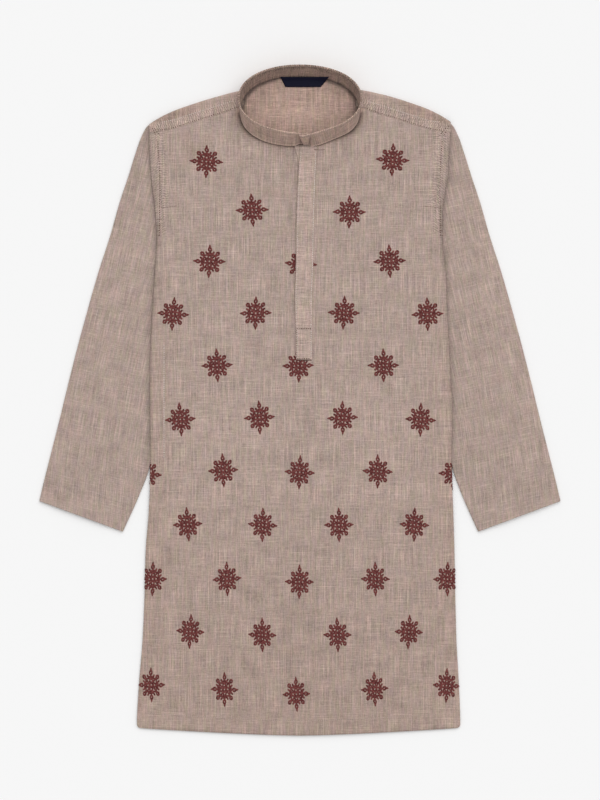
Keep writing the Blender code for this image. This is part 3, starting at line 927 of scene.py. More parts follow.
def make_back(finish):
    """The back: a flat sheet on the table, on the back solid's outline, rising a little to the neck."""
    shares = edge_spaced(NOMINAL_HALF_WIDTH, BACK_PITCH) / NOMINAL_HALF_WIDTH
    across = np.concatenate([-shares[:0:-1], shares])
    neck_top = NECK_SEAM["middle_y"] + NECK_SEAM["half_depth"]
    head = along(SLEEVE_INNER, BACK_CORNER_Y) - SEAM_CLEARANCE
    low = BACK_HEM_Y + edge_spaced(BACK_WAIST_Y - BACK_HEM_Y, BACK_PITCH)[:-4]
    high = np.arange(BACK_WAIST_Y + BACK_PITCH, BACK_CORNER_Y, BACK_PITCH)
    ys = np.unique(np.round(np.concatenate([low, high, [BACK_CORNER_Y]]), 3))
    sleeve = along(SLEEVE_INNER, ys) - SEAM_CLEARANCE
    sleeve[:, ys < SLEEVE_INNER[0][0]] = np.inf
    right, left = np.minimum(along(FRONT, ys)[:2], sleeve)[..., None]
    y = np.repeat(ys[:, None], len(across), axis=1)
    x = across * np.where(across < 0, right, left)
    hem = hem_y(x[0])
    low = smooth_step((y - ys[0]) / 40.0)
    y = y + (1.0 - low) * (hem - ys[0])
    y = y + corner_lift(np.minimum(x - x[:, :1], x[:, -1:] - x), y - hem)
    head_x = across * np.where(across < 0, head[0], head[1])
    inside_neck = np.abs(head_x) < NECK_SEAM["half_width"] + BACK_NECK_TUCK - 0.5
    neckline = dict(NECK_SEAM, half_width=NECK_SEAM["half_width"] + BACK_NECK_TUCK)
    top = np.where(
        inside_neck,
        neckline["middle_y"] + half_oval(neckline, head_x) + 0.6,
        shoulder_y(head_x)[0] - SHOULDER_LIP - 0.35,
    )
    top = np.maximum(top, BACK_CORNER_Y + 4.0)
    rise = np.linspace(0.0, 1.0, 22)[1:, None]
    x = np.concatenate([x, np.repeat(head_x[None], len(rise), axis=0)])
    y = np.concatenate([y, BACK_CORNER_Y + (top - BACK_CORNER_Y) * rise])
    to_neck = np.where(inside_neck, neck_top - y, 99.0) + np.zeros_like(y)
    near_neck = fade(-neck_distance(x, y), 5.0) * (to_neck < 60.0)
    near_neck = near_neck * back_rise(y)
    lift = BACK_NECK_RISE * near_neck + creases(BACK_CREASES, x, y)
    inset = np.minimum(x - x.min(axis=1, keepdims=True), x.max(axis=1, keepdims=True) - x)
    z = CLOTH + lift - 0.5 * edge_drop(inset)
    points = join(x, y, z)
    outside = neck_distance(x, y)
    # Painted shade just inside the neck seam at the sides, where the collar band stands over the back.
    band_shade = fade(-outside - 1.2, 1.4) * smooth_step((np.abs(x) - 24.0) / 4.0)
    band_shade = band_shade * (1.0 - smooth_step((outside - 0.5) / 1.5))
    tone = blotches(BACK_LIGHT_AND_SHADE, x, y) - 0.58 * band_shade
    back = add_mesh("back", points, grid_quads(*y.shape), finish, points[..., :2], 0.4 * near_neck, tone)
    lay_sheet(back, "back_panel", thickness=CLOTH - 0.05)


def make_shoulder(name, node, side, finish):
    """A shoulder piece: from a lip on the table, round the fold in a half circle, and down over the front."""
    sign = OUTWARDS[side]
    head_x = along(SLEEVE_INNER, SLEEVE_INNER[-1][0])[side] - SEAM_CLEARANCE
    xs = SHOULDER_START_X + edge_spaced(head_x - SHOULDER_START_X, 1.6)
    xs = np.concatenate([xs, np.linspace(head_x, SHOULDER[-1][0], 7)[1:]])
    fold, depth = shoulder_y(sign * xs)
    top = front_height(sign * xs, fold - SHOULDER_LIP) + LAYER
    radius = top / 2
    bends = np.radians(np.linspace(-90.0, 90.0, 13))
    rows = [(np.full(len(xs), lip), np.zeros(len(xs))) for lip in (SHOULDER_LIP, 6.0)]
    rows += [(radius * (1 - math.cos(bend)), radius * (1 + math.sin(bend))) for bend in bends]
    first_upper_row = 2 + len(bends) // 2
    for share in edge_spaced(SHOULDER_SPAN, 1.5)[4:] / SHOULDER_SPAN:
        inset = radius + (depth - radius) * share
        height = cloth_top(sign * xs, fold - inset) + YOKE_SINK * smooth_step((depth - inset) / 1.5)
        height = height + YOKE_RISE * smooth_step((depth - inset) / 0.8)
        blend = smooth_step((inset - radius) / 5.0)
        rows.append((inset, top + (height - top) * blend))
    points = np.array([join(sign * xs, fold - inset, height) for inset, height in rows])
    beside_neck = 1.0 - smooth_step((xs - SHOULDER_START_X) / SHOULDER_NECK_REACH)
    neck_x = np.minimum(half_width_at(NECK_SEAM, points[..., 1]) + SHOULDER_NECK_GAP, SHOULDER_START_X)
    points[..., 0] -= sign * (SHOULDER_START_X - neck_x) * beside_neck
    points[..., 2] -= edge_drop(SHOULDER[-1][0] - np.abs(points[..., 0])) * (points[..., 2] > 2.0)
    keep = np.ones((len(rows) - 1, len(xs) - 1), bool)
    keep[:first_upper_row, -6:] = False
    inset = fold - points[..., 1]
    seam = depth - inset
    upper = points[..., 2] > 2.0
    gathers = 1.0 * hump(seam - 6.5, 8.5) * upper * smooth_step((178.0 - xs) / 8.0)
    tip = 0.5 * smooth_step((xs - 166.0) / 6.0) * np.ones_like(gathers)
    # Painted shade on the outer shoulder near the fold, which the warmth also reddens; the tone is darker
    # again within 4 mm of the fold, painted shade on its turn.
    fold_shade = smooth_step((seam - 9.0) / 4.0) * smooth_step((xs - 108.0) / 34.0)
    tone = 1.075 - 0.12 * fold_shade - 0.06 * smooth_step((4.0 - inset) / 4.0)
    shading = (gathers + tip, tone, 0.4 * fold_shade + 0.1, -sign * YOKE_SLOPE * points[..., 1])
    quads = grid_quads(len(rows), len(xs), keep, flip=side == LEFT)
    piece = add_mesh(name, points, quads, finish, points[..., :2], *shading)
    lay_sheet(piece, node)


def bend_inset(edge, cuts):
    """How far along each cut the fold's bend reaches, so that it is one radius square to the edge."""
    run = unit(np.gradient(edge, axis=0))
    slant = np.abs(run[:, 0] * cuts[:, 1] - run[:, 1] * cuts[:, 0])
    return np.minimum(SLEEVE_EDGE_RADIUS / slant, LONGEST_BEND)


def sleeve_height(x, y, inset, width, middle):
    """The upper layer's height: low at both folds, higher between, and creased. x is counted outwards."""
    rise = smooth_step(inset / SLEEVE_ROUNDING) * smooth_step((width - inset - SLEEVE_TUCK) / SLEEVE_ROUNDING)
    lie = creases(SLEEVE_CREASES, x, y) + rolling(x, y, *SLEEVE_ROLLING)
    return 2 * SLEEVE_EDGE_RADIUS + (middle - 2 * SLEEVE_EDGE_RADIUS) * rise + lie * rise


def make_sleeve(name, node, side, finish):
    """A sleeve: a flattened tube. Its columns go round it, from the outer fold across the upper layer, round
    the inner fold and back across the under layer; its rows are cuts from the armhole to the cuff."""
    sign = OUTWARDS[side]
    shares = np.concatenate([np.linspace(0.0, 0.985, 168), (0.992, 0.9968, 0.999, 1.0)])
    outer_y, inner_y, middle = along(SLEEVE_CUTS, shares)
    rise = SLEEVE_HEAD_RISE[side] * smooth_step((outer_y - outer_y[0]) / SLEEVE_HEAD_REACH + 1.0)
    outer = join(along(SLEEVE_OUTER, outer_y)[0], outer_y + rise)
    inner = join(along(SLEEVE_INNER, inner_y)[side], inner_y)
    width = np.linalg.norm(inner - outer, axis=-1)
    cuts = (inner - outer) / width[:, None]
    outer_bend, inner_bend = bend_inset(outer, cuts), bend_inset(inner, cuts)
    bends = np.radians((72.0, 45.0, 15.0, -15.0, -45.0, -72.0))
    bends = [(1 - math.cos(bend), SLEEVE_EDGE_RADIUS * (1 + math.sin(bend))) for bend in bends]
    upper = np.linspace(0.0, 1.0, 50)
    insets = [(outer_bend + (width - outer_bend - inner_bend) * share, None) for share in upper]
    insets += [(width - inner_bend * reach, height) for reach, height in bends]
    insets += [(outer_bend + (width - outer_bend - inner_bend) * share, 0.0) for share in upper[::-5]]
    insets += [(outer_bend * reach, height) for reach, height in reversed(bends)]
    grid = np.empty((len(shares), len(insets), 3))
    armhole_pull = np.clip(1 - shares / ARMHOLE_SHARE, 0, 1)
    cuff = smooth_step((shares - CUFF_DEPTH_SHARE) / 0.004 + 0.5)
    for column, (inset, height) in enumerate(insets):
        point = outer + cuts * inset[:, None]
        armhole_x = along(SLEEVE_INNER, point[:, 1])[side]
        point[:, 0] += armhole_pull * (armhole_x - point[:, 0])[0]
        if height is None:
            height = sleeve_height(*point.T, inset, width, middle) + 0.15 * cuff
        grid[:, column] = join(sign * point[:, 0], point[:, 1], height)
    x, y = grid[..., 0], grid[..., 1]
    below = np.minimum(y - SLEEVE_GRAIN_BEND["from_y"], 0.0)
    shift = math.tan(SLEEVE_GRAIN_TILT) * y + SLEEVE_GRAIN_BEND["per_mm"] * below**2 / 2
    uv = join(x + sign * shift, y - sign * math.tan(SLEEVE_GRAIN_TILT) * x)
    # A painted shadow on the sleeve along the front's side edge, which lies over it.
    front_edge_shadow = smooth_step((y + 110.0) / 60.0) * hump(np.abs(x) - along(FRONT, y)[side], 4.5)
    tone = blotches(SLEEVE_SHADE_AND_TONES, np.abs(x), y) - 0.26 * front_edge_shadow
    quads = grid_quads(len(shares), len(insets), ring=True, flip=side == RIGHT)
    piece = add_mesh(name, grid, quads, finish, uv, tone=tone)
    lay_sheet(piece, node)


def stitched_down(x, left, layers):
    """How much of a placket strip's layers its stitched left edge is pressed down by."""
    return smooth_step((x - left + 5.5) / 4.5) * (layers - 0.75)


def make_placket(name, node, table, layers, finish):
    """A straight placket strip: the front's own form moved out by layers of cloth, with rolled edges."""
    bottom, top = table[0][0], table[-1][0]
    y = bottom + edge_spaced(top - bottom, 2.0)[:, None]
    right, left = along(table, y)
    x = right + (left - right) * (edge_spaced(20.0, 1.2) / 20.0)
    y = y + np.zeros_like(x)
    edge = np.minimum(x - right, left - x)
    z = cloth_top(x, y) + (layers - stitched_down(x, left, layers)) * LAYER
    z = z - edge_drop(np.minimum(edge, y - bottom)) - 0.8 * smooth_step((y - top + 4.0) / 4.0)
    gathers = 0.45 * hump(edge - 2.0, 2.2)
    # Painted shadow under the collar at the strip's top, a painted highlight on the underlap's free side near
    # its top, and a painted highlight along the overlap's stitched edge.
    tone = 1.0 - 0.45 * fade(top - 0.9 - y, 1.1)
    tone = tone + 0.12 * smooth_step((1.0 - x) / 2.0) * (2 - layers) * smooth_step((y - 280.0) / 8.0)
    tone = tone + 0.09 * (layers - 1) * hump(left - 0.8 - x, 1.3)
    piece = add_mesh(name, join(x, y, z), grid_quads(*x.shape), finish, join(x, y), gathers, tone)
    lay_sheet(piece, node)


def collar_surface(columns, shares):
    """The collar's middle surface from the neck seam (share 0) up to the rim (share 1), its outward direction
    and its angle at each point. Each straight line from seam to rim is COLLAR_HEIGHT long. The over end
    leans, a pleat runs up beside it, and the two ends pass each other."""
    shares = np.asarray(shares, float)[:, None]
    low_end, high_end = COLLAR_OVER_END
    start = low_end + (high_end - low_end) * shares
    angle = start + (COLLAR_UNDER_END - start) * np.linspace(0.0, 1.0, columns)
    seam_x, seam_y = round_oval(NECK_SEAM, angle)
    rim_x, rim_y = round_oval(COLLAR_RIM, angle)
    over_end = (angle < math.pi / 4) * (1 - smooth_step((seam_x - 8.0) / 6.0))
    under_end = (angle > math.radians(345.0)) * smooth_step((seam_x + 6.0) / 6.0)
    in_front = smooth_step(2.0 * np.cos(angle))
    seam_y = seam_y + COLLAR_END_RISE * (over_end + under_end) + neck_skew(seam_x) * in_front
    rim_y = rim_y - RIM_DIP["depth"] * np.exp(-np.abs(rim_x - RIM_DIP["x"]) / RIM_DIP["reach"]) * in_front
    low, high = COLLAR_BASE_CHANGE
    towards_back = smooth_step((seam_y - low) / (high - low))
    base = COLLAR_BASE_FRONT + (COLLAR_BASE_BACK - COLLAR_BASE_FRONT) * towards_back
    rise = np.sqrt(COLLAR_HEIGHT**2 - (rim_x - seam_x) ** 2 - (rim_y - seam_y) ** 2)
    seam = join(seam_x, seam_y, base)
    rim = join(rim_x, rim_y, base + rise)
    middle = seam + (rim - seam) * shares[..., None]
    outward = unit(np.cross(np.gradient(middle, axis=1), rim - seam))
    over, under = COLLAR_LAP
    flat_end, turn_end = COLLAR_LAP_ANGLES
    push = over * (1 - smooth_step((angle - flat_end) / (turn_end - flat_end)))
    push = push + under * smooth_step((angle - math.radians(350.0)) / math.radians(9.0))
    pleat = collar_pleat(middle, angle) * (1 - smooth_step((shares - 0.6) / 0.3))
    push = push - COLLAR_PLEAT["depth"] * pleat
    return middle + outward * push[..., None], outward, angle


def collar_pleat(middle, angle):
    """1 in the pleat beside the collar's over end, and 0 away from it."""
    return hump(middle[..., 0] - COLLAR_PLEAT["x"], COLLAR_PLEAT["reach"]) * (angle < math.pi / 4)


def collar_tone(middle, angle, shares):
    """How light the collar is, all painted light and shade: dark in the pleat and where the over end shades
    the under one, a painted highlight on the panel beside the over end and along the seam's lip at the foot,
    and painted shade at that panel's foot.
    """
    shares = np.asarray(shares, float)[:, None]
    panel = (angle < math.pi / 4) * (1 - smooth_step((middle[..., 0] - 9.5) / 2.0))
    shaded = smooth_step((angle - math.radians(359.0)) / math.radians(1.5))
    low_part = 1 - smooth_step((shares - 0.62) / 0.25)
    pleat = collar_pleat(middle, angle) * low_part
    foot = (0.34 - 0.80 * panel) * hump(shares, 0.07)
    return 1.0 + 0.10 * panel - 0.52 * pleat - 0.46 * shaded * low_part + foot


def make_collar(finish, inner_finish):
    """The collar band. Its outer layer turns over the rim and down inside; the inner layer meets it there."""
    columns = 420
    shares = np.concatenate([(0.0, 0.02, 0.05), np.linspace(0.09, 0.955, 20)])
    middle, outward, angle = collar_surface(columns, shares)
    half = 0.5 * (LAYER - 1.0) + CLOTH
    lip = hump(shares, 0.035)[:, None, None]
    sag = 0.35 * np.sin(np.linspace(0, 9 * math.pi, columns)) * np.sin(shares * math.pi)[:, None]
    body = middle + outward * (half + 0.35 * lip + sag[..., None])
    rim_middle, rim_outward, rim_angle = collar_surface(columns, [0.97])
    up = unit(collar_surface(columns, [1.0])[0] - collar_surface(columns, [0.96])[0])
    turns = np.radians(np.linspace(10.0, 180.0, 8))
    roll = [rim_middle + rim_outward * half * math.cos(t) + up * half * math.sin(t) for t in turns]
    inside = [rim_middle - rim_outward * half - up * depth for depth in (0.8, 1.8)]
    points = np.concatenate([body] + roll + inside)
    distance = distance_along(points[0])
    down = np.concatenate([shares * COLLAR_HEIGHT, 24.5 + half * turns, (27.9, 28.9)])
    uv = join(distance[None], down[:, None])
    rim_ticks = 2.8 * hump(down - 25.5, 2.2) + 0.9 * hump(down - 1.4, 1.6)
    ticks = rim_ticks[:, None] * (0.62 - 0.38 * np.cos(rim_angle[0]))
    tone = collar_tone(middle, angle, shares)
    # A painted highlight along the rim at the front, turning to painted shade at the back.
    rim_tone = collar_tone(rim_middle, rim_angle, [0.97]) + 0.13 * np.cos(rim_angle) + 0.07
    tone = np.concatenate([tone, np.repeat(rim_tone, len(points) - len(tone), axis=0)])
    outer = add_mesh("collar_band", points, grid_quads(*points.shape[:2]), finish, uv, ticks, tone)
    lay_sheet(outer, "collar_outer")
    shares = np.linspace(0.0, 0.93, 16)
    middle, outward, angle = collar_surface(columns, shares)
    points = middle - outward * (half - CLOTH + 0.15)
    sewn_to_back = smooth_step(0.5 - 3.0 * np.cos(angle[0]))
    foot = points[0].copy()
    on_back = CLOTH + 0.15 + BACK_NECK_RISE * back_rise(foot[:, 1])
    foot[:, 2] += (on_back - foot[:, 2]) * sewn_to_back - 0.4 * (1.0 - sewn_to_back)
    points = np.concatenate([[foot, 0.5 * (foot + points[0])], points])
    shares = np.concatenate([(-0.12, -0.06), shares])
    uv = join(distance[None], shares[:, None] * COLLAR_HEIGHT)
    ticks = hump(shares, 0.08) + 1.6 * hump(0.93 - shares, 0.22) + 0.3
    ticks = ticks[:, None] * np.ones(columns)
    # Painted shade at the lining's foot, where it meets the inside back.
    tone = 1.0 - 0.55 * fade(shares, 0.12)[:, None] * np.ones(columns)
    quads = grid_quads(*points.shape[:2], flip=True)
    inner = add_mesh("collar_lining", points, quads, inner_finish, uv, ticks, tone)
    lay_sheet(inner, "collar_inner")


def make_label(finish):
    """The woven label: a bare trapezium of satin sewn under the inside back's neck seam."""
    top_left, top_right, top_y = LABEL_CORNERS["top"]
    low_left, low_right, low_y = LABEL_CORNERS["bottom"]
    down = np.linspace(0.0, 1.0, 9)[:, None]
    across = np.linspace(0.0, 1.0, 31)[None]
    left, right = low_left + (top_left - low_left) * down, low_right + (top_right - low_right) * down
    x = left + (right - left) * across
    y = low_y + (top_y - low_y) * down + np.zeros_like(x)
    edge = np.minimum(np.minimum(across, 1 - across) * 59.0, np.minimum(down, 1 - down) * 11.8)
    z = 2.35 + 0.25 * np.sin(x / 9.0) * (1 - down) - 0.35 * np.exp(-edge / 0.6)
    up_band = y - NECK_SEAM["middle_y"] - half_oval(NECK_SEAM, x)
    z = z + 1.9 * smooth_step((up_band + 4.0) / 2.8) + 1.33 * np.maximum(up_band + 0.9, 0.0)
    label = add_mesh("woven_label", join(x, y, z), grid_quads(*x.shape), finish, join(x, y))
    lay_sheet(label, "neck_label", 0.35)


# ------------------------------------------------------------------------------------------- needlework


def loop(middle, half_width, half_length, point=0.0, count=15):
    """A closed drop: an oval whose far end is drawn out by point."""
    angle = np.linspace(0.0, 2 * math.pi, count)
    x = half_width * np.sin(angle) * (1.0 - 0.35 * point * (1 - np.cos(angle)))
    y = middle - half_length * np.cos(angle) * (1.0 + 0.2 * point)
    return join(x, y)


def line(start, end, bow=0.0, count=6):
    """A stroke from start to end, bowed sideways by a share of its length."""
    t = np.linspace(0.0, 1.0, count)[:, None]
    start, end = np.array(start), np.array(end)
    side = np.array((start[1] - end[1], end[0] - start[0]))
    return start + (end - start) * t + side * bow * 4 * t * (1 - t)


def motif_strokes():
    """One star's strokes in its own square from -1 to 1, each as its points and its half width at both ends.
    An arm is drawn pointing up and turned to the four sides; a petal, to the corners."""
    arm = [
        (loop(0.70, 0.088, 0.100, 0.2, 13), (0.056, 0.056)),
        (line((0.0, 0.78), (0.0, 1.0), 0.0, 4), (0.092, 0.030)),
        (line((0.0, 0.34), (0.0, 0.61), 0.0, 4), (0.050, 0.062)),
    ]
    for way in (1, -1):
        arm.append((line((0.02 * way, 0.50), (0.255 * way, 0.60), -0.34 * way, 7), (0.046, 0.062)))
    for way in (1, -1):
        arm.append((line((0.17 * way, 0.37), (0.23 * way, 0.49), 0.20 * way, 4), (0.052, 0.040)))
    petal = [
        (loop(0.665, 0.078, 0.085, -0.1, 13), (0.056, 0.056)),
        (line((0.0, 0.46), (0.0, 0.60), 0.0, 3), (0.080, 0.090)),
        (line((0.0, 0.72), (0.0, 0.81), 0.0, 3), (0.085, 0.090)),
    ]
    corners = np.array(((0.37, 0.37), (0.37, -0.37), (-0.37, -0.37), (-0.37, 0.37), (0.37, 0.37)))
    spread = np.linspace(0.0, 4.0, 25)
    square = join(*(np.interp(spread, np.arange(5), corners[:, axis]) for axis in (0, 1)))
    strokes = [(square, (0.050, 0.050))]
    for across, up in ((0.0, 0.0), (-0.235, 0.0), (0.235, 0.0), (0.0, -0.235), (0.0, 0.235)):
        strokes.append((loop(up, 0.104, 0.104, 0.0, 9) + (across, 0.0), (0.056, 0.056)))
    for across, up in ((-1, -1), (-1, 1), (1, -1), (1, 1)):
        strokes.append((line((0.13 * across, 0.13 * up), (0.36 * across, 0.36 * up), 0.1, 4), (0.060, 0.050)))
    for quarter in range(4):
        for shapes, turn in ((arm, 0.0), (petal, math.pi / 4)):
            angle = quarter * math.pi / 2 + turn
            matrix = np.array(((math.cos(angle), math.sin(angle)), (-math.sin(angle), math.cos(angle))))
            strokes += [(points @ matrix, widths) for points, widths in shapes]
    return strokes


def raised_stroke(points, widths, profile):
    """A padded stroke: a half round of the profile's steps carried along the points, low at its ends. Gives
    its places in plan, their lift, and the distance along it."""
    count = len(points)
    closed = np.allclose(points[0], points[-1])
    run = np.gradient(points, axis=0)
    if closed:
        run[0] = run[-1] = points[1] - points[-2]
    run /= np.linalg.norm(run, axis=-1, keepdims=True) + 1e-9
    side = join(-run[:, 1], run[:, 0])
    half = np.linspace(widths[0], widths[1], count)
    share = np.linspace(0.0, 1.0, count)
    ends = np.ones(count) if closed else np.clip(np.minimum(share, 1 - share) * 6 + 0.35, 0, 1)
    aside = half[:, None] * profile[None, :, 0] * ends[:, None] ** 0.5
    placed = points[:, None] + side[:, None] * aside[..., None]
    lift = profile[None, :, 1] * ends[:, None] * (half / FLOSS).clip(0.6, 1.4)[:, None]
    return placed, lift, distance_along(points)


def make_embroidery(name, middles, finish, first_seed):
    """Stars of padded satin stitch on the front. Each is laid on cloth_top, wraps round the side edge where
    it runs off it, and is left out where the placket covers it."""
    profile = np.array(((-1.0, 0.0), (-0.7, 0.72), (0.0, 1.0), (0.7, 0.72), (1.0, 0.0)))
    strokes = motif_strokes()
    random = np.random.default_rng(first_seed)
    all_points, all_quads, all_uv, total = [], [], [], 0
    for middle_x, middle_y in middles:
        share = (middle_y - MOTIF_Y_RANGE[0]) / (MOTIF_Y_RANGE[1] - MOTIF_Y_RANGE[0])
        half = np.array([low + (high - low) * share for low, high in (MOTIF_HALF_WIDTH, MOTIF_HALF_HEIGHT)])
        turn = math.radians(random.uniform(-3.5, 3.5))
        skew = random.uniform(-0.05, 0.05)
        spin = np.array(((math.cos(turn), math.sin(turn)), (skew - math.sin(turn), math.cos(turn))))
        wobble = random.uniform(0, 6.28, 2)
        for points, widths in strokes:
            placed, lift, distance = raised_stroke(points, widths, profile)
            placed = placed + 0.014 * np.sin(7.0 * placed[..., ::-1] + wobble)
            flat = (placed @ spin) * half + (middle_x, middle_y)
            x, y = flat[..., 0], flat[..., 1]
            over = np.maximum(-front_inset(x, y), 0.0)
            x = x - np.sign(x) * over
            z = cloth_top(x, y) + lift * EMBROIDERY_HEIGHT - np.minimum(over, EDGE_WRAP) + 0.02
            x = x + np.sign(x) * (over > 0) * lift * EMBROIDERY_HEIGHT
            right, left = along(PLACKET_OVER, y)
            covered = (x > right + 1.2) & (x < left - 1.2) & (y > PLACKET_OVER[0][0] + 1.2)
            quads = grid_quads(*x.shape)
            gone = (covered | (over > EDGE_WRAP)).ravel()
            quads = quads[~gone[quads].all(axis=1)]
            if len(quads):
                all_points.append(join(x, y, z).reshape(-1, 3))
                uv = join(distance[:, None] * half.mean(), profile[None, :, 0])
                all_uv.append(uv.reshape(-1, 2) + (total * 0.37 % 50.0))
                all_quads.append(quads + total)
                total += x.size
    points, quads, uv = map(np.concatenate, (all_points, all_quads, all_uv))
    piece = add_mesh(name, points, quads, finish, uv)


def spaced_path(points, pitch):
    """Places a pitch apart along a path of three-dimensional points, and the path's direction at each."""
    distance = distance_along(points)
    at = np.arange(pitch / 2, distance[-1], pitch)
    behind, place, ahead = (
        join(*(np.interp(at + shift, distance, points[:, axis]) for axis in range(3)))
        for shift in (-0.5, 0.0, 0.5)
    )
    return place, unit(ahead - behind)


def make_stitches(name, rows, finish):
    """Rows of stitches as one mesh. Each row is a path, its stitch sizes and the way out of the cloth; a
    stitch is a small spindle, thickest in its middle and half sunk."""
    ends = np.array((-1.0, -0.75, 0.0, 0.75, 1.0))
    fullness = np.array((0.0, 0.72, 1.0, 0.72, 0.0))
    turn = np.linspace(0.0, 2 * math.pi, 6, endpoint=False)
    all_points, all_quads, total = [], [], 0
    random = np.random.default_rng(len(rows))
    template = grid_quads(len(ends), len(turn), ring=True)
    for path, sizes, outward in rows:
        place, run = spaced_path(path, sizes["pitch"])
        place = place + run * random.uniform(-0.25, 0.25, (len(place), 1))
        fullest = sizes["radius"] * random.uniform(0.6, 1.25, (len(place), 1, 1, 1))
        outward = np.broadcast_to(np.asarray(outward, float), place.shape)
        side = unit(np.cross(outward, run))
        up = np.cross(run, side)
        ring = side[:, None, None] * np.cos(turn)[None, None, :, None] * 1.15
        ring = ring + up[:, None, None] * np.sin(turn)[None, None, :, None]
        stitch = run[:, None, None] * (ends * sizes["length"] / 2)[None, :, None, None]
        stitch = place[:, None, None] + stitch + ring * fullness[None, :, None, None] * fullest
        count = stitch.shape[1] * stitch.shape[2]
        offset = total + count * np.arange(len(place))[:, None, None]
        all_points.append(stitch.reshape(-1, 3))
        all_quads.append((template[None] + offset).reshape(-1, 4))
        total += count * len(place)
    points, quads = np.concatenate(all_points), np.concatenate(all_quads)
    piece = add_mesh(name, points, quads, finish, points[:, :2])


def on_front(x, y, lift=0.0):
    """A path lying on the front's outer face, or lifted off it."""
    x, y = np.broadcast_arrays(np.asarray(x, float), np.asarray(y, float))
    return join(x, y, cloth_top(x, y) + lift)


def on_yoke(x, y):
    """A path on the front or, above the yoke's seam, on the yoke that lies over it."""
    path = on_front(x, y)
    fold, depth = shoulder_y(path[:, 0])
    path[:, 2] += (YOKE_SINK + YOKE_RISE) * smooth_step((path[:, 1] - (fold - depth)) / 1.5)
    return path


def yoke_line(sign, start_x, end_x, above_seam):
    """Places a distance above a yoke's seam, as x and y."""
    x = sign * np.linspace(start_x, end_x, 60)
    fold, depth = shoulder_y(x)
    return x, fold - depth + above_seam


def straight_rows(table, sign, sizes):
    """A short straight row over the yoke and the front for each row of a table, with x counted outwards."""
    rows = []
    for start_x, start_y, end_x, end_y in table:
        path = on_yoke(sign * np.linspace(start_x, end_x, 8), np.linspace(start_y, end_y, 8))
        rows.append((path, sizes, UP))
    return rows


def seam_rows():
    """The stitch rows on the front, the shoulders and the placket: dark in their holes, a painted shadow of
    the holes and of the steps beside them, pale along edges, and plain, in the cloth's own colour, at the
    hems."""
    x = np.linspace(-188.0, 186.0, 160)
    dark, pale, plain = [], [], [(on_front(x, hem_y(x) + HEM_DEPTH - 1.0, 0.02), STITCH, UP)]
    for side, sign in enumerate(OUTWARDS):
        y = np.linspace(200.0, 316.0, 60)
        dark.append((on_front(sign * np.interp(y, *np.transpose(ARMHOLE_STITCH)), y, 0.05), HOLE, UP))
        dark.append((on_yoke(*yoke_line(sign, 76.0, 176.0, 1.6)), HOLE, UP))
        dark += straight_rows(ARMHOLE_TACKS, sign, TACK) + straight_rows(TIP_STITCHES, sign, HOLE)
        pale.append((on_front(*yoke_line(sign, 82.0, 168.0, 11.0), YOKE_SINK + YOKE_RISE), STITCH, UP))
        y = np.linspace(-398.0, -300.0, 50)
        plain.append((on_front(sign * (along(FRONT, y)[side] - 5.5), y, 0.02), STITCH, UP))
    y = np.linspace(67.0, -70.0, 60)
    pale.append((on_front(POCKET_X, y, 0.28), POCKET_STITCH, UP))
    foot_y = PLACKET_OVER[0][0]
    y = np.linspace(foot_y + 2.0, 303.0, 90)
    right, left = along(PLACKET_OVER, y)
    pale.append((on_front(left - 1.3, y, 0.98 * LAYER), POCKET_STITCH, UP))
    pale.append((on_front(right + 1.8, y, 2 * LAYER), STITCH, UP))
    for row_y in (PLACKET_BOX_Y, foot_y + 1.2):
        right, left = along(PLACKET_OVER, row_y)
        x = np.linspace(right + 0.8, left - 1.8, 24)
        dark.append((on_front(x, row_y, (2 - stitched_down(x, left, 2)) * LAYER + 0.1), BOX_STITCH, UP))
    dark.append((on_front(np.linspace(-1.5, 14.0, 24), foot_y - 0.5, 0.55), FOOT_STITCH, UP))
    dark += [(on_front(x, y, 1.4 * LAYER), TACK, UP) for x, y in zip(*NECK_TACKS)]
    y = np.linspace(foot_y + 2.0, PLACKET_BOX_Y, 20)
    dark.append((on_front(along(PLACKET_OVER, y)[0] + 1.2, y, 2 * LAYER - 0.1), HOLE, UP))
    return dark, pale, plain


def cuff_rows():
    """The stitch row round the upper side of each cuff."""
    rows = []
    for side, sign in enumerate(OUTWARDS):
        outer_y, inner_y, middle = along(SLEEVE_CUTS, CUFF_DEPTH_SHARE)
        outer = np.array((along(SLEEVE_OUTER, outer_y)[0], outer_y))
        inner = np.array((along(SLEEVE_INNER, inner_y)[side], inner_y))
        width = np.linalg.norm(inner - outer)
        inset = np.linspace(2.0, width - 2.0, 50)
        point = outer + (inner - outer) * (inset / width)[:, None]
        height = sleeve_height(*point.T, inset, width, middle) + 0.2
        rows.append((join(sign * point[:, 0], point[:, 1], height), STITCH, UP))
    return rows


def collar_rows():
    """Edge stitches along the collar's neck seam and just under its rim, on the outer face."""
    rows = []
    for share in (0.055, 0.93):
        middle, outward, _ = collar_surface(300, [share])
        path = middle[0] + outward[0] * (CLOTH + 0.2)
        place, _ = spaced_path(path, RIM_STITCH["pitch"])
        nearest = np.argmin(np.linalg.norm(place[:, None] - path[None], axis=-1), axis=1)
        rows.append((path, RIM_STITCH, outward[0][nearest]))
    return rows


# ------------------------------------------------------------------------------------------------ studio


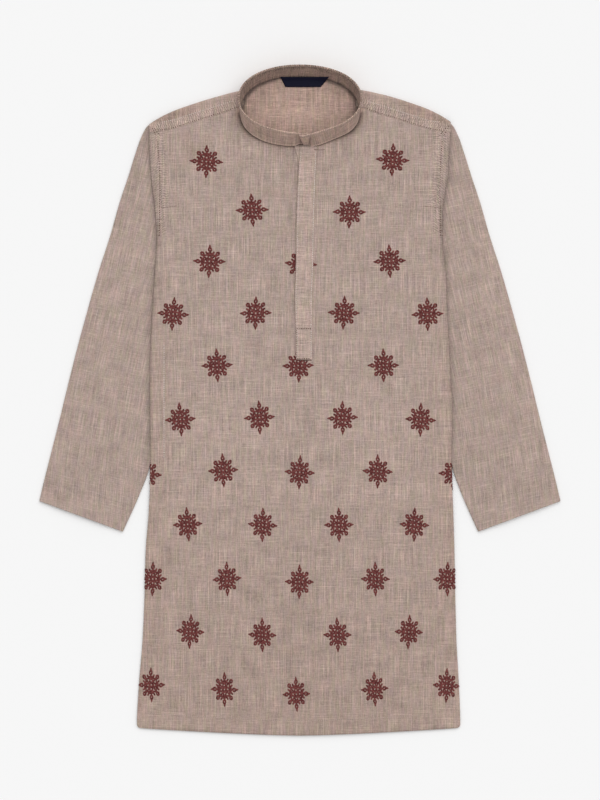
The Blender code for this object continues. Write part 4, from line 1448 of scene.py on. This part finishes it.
def make_studio():
    """A pale floor, an even sky and one broad soft light from beyond the collar, with the camera overhead."""
    mesh = bpy.data.meshes.new("floor")
    corners = [(x, y, FLOOR_Z) for x, y in ((-3.0, -3.0), (3.0, -3.0), (3.0, 3.0), (-3.0, 3.0))]
    mesh.from_pydata(corners, [], [(0, 1, 2, 3)])
    mesh.materials.append(floor_paint())
    link("floor", mesh)
    world = bpy.data.worlds.new("studio")
    world.use_nodes = True
    sky = world.node_tree.nodes["Background"].inputs
    sky["Color"].default_value = (1.0, 1.0, 1.0, 1.0)
    sky["Strength"].default_value = SKY_STRENGTH
    bpy.context.scene.world = world
    lamp = bpy.data.lights.new("softbox", "SUN")
    lamp.energy = LAMP_STRENGTH
    lamp.angle = LAMP_SPREAD
    link("softbox", lamp).rotation_euler = LAMP_TURN
    lens = bpy.data.cameras.new("camera")
    lens.lens = 300.0
    lens.sensor_width = 36.0
    lens.clip_end = 50.0
    camera = link("camera", lens)
    camera.location = (0.0001, -0.0002, VIEW_HEIGHT * lens.lens / lens.sensor_width + 0.004)
    bpy.context.scene.camera = camera
    bpy.context.scene.view_settings.view_transform = "Standard"


make_studio()
body_cloth = chambray("chambray_body", pucker_shade=0.22, seed=1.0)
back_cloth = chambray("chambray_back", tint=(1.115, 1.03, 0.99), weft=1.3, seed=9.0)
yoke_cloth = chambray("chambray_shoulder", pitch=2.6, gathered_along_u=True, pucker_shade=0.25, seed=21.0)
sleeve_cloth = chambray("chambray_sleeve", weft=0.85, seed=33.0, warp=0.95)
placket_cloth = chambray("chambray_placket", tint=(1.10, 1.09, 1.09), weft=1.3, seed=45.0)
collar_cloth = chambray("chambray_collar", (1.00, 0.93, 0.885), 1.6, 1.95, True, 0.34, 57.0)
# The lining is a darker copy of the chambray: painted shade inside the band.
shaded_lining_cloth = chambray("chambray_collar_lining", (0.74, 0.665, 0.62), 1.9, 1.95, True, 0.40, 63.0, 1.5)
make_back(back_cloth)
make_front(body_cloth)
make_shoulder("yoke_right", "shoulder_right", RIGHT, yoke_cloth)
make_shoulder("yoke_left", "shoulder_left", LEFT, yoke_cloth)
make_sleeve("sleeve_right_cloth", "sleeve_right", RIGHT, sleeve_cloth)
make_sleeve("sleeve_left_cloth", "sleeve_left", LEFT, sleeve_cloth)
make_placket("placket_underlap", "placket_under", PLACKET_UNDER, 1, placket_cloth)
make_placket("placket_overlap", "placket_over", PLACKET_OVER, 2, placket_cloth)
make_collar(collar_cloth, shaded_lining_cloth)
make_label(label_satin())
floss = maroon_thread()
make_embroidery("stars_upper", sum(STARS[:6], ()), floss, 3)
make_embroidery("stars_lower", sum(STARS[6:], ()), floss, 8)
dark_rows, pale_rows, plain_rows = seam_rows()
plain_rows += cuff_rows() + collar_rows()
make_stitches("stitches_dark", dark_rows, sewing_thread("thread_shadowed", (0.125, 0.060, 0.046)))
make_stitches("stitches_pale", pale_rows, sewing_thread("thread_pale", (0.66, 0.57, 0.52)))
make_stitches("stitches_plain", plain_rows, sewing_thread("thread_plain", (0.46, 0.36, 0.31)))
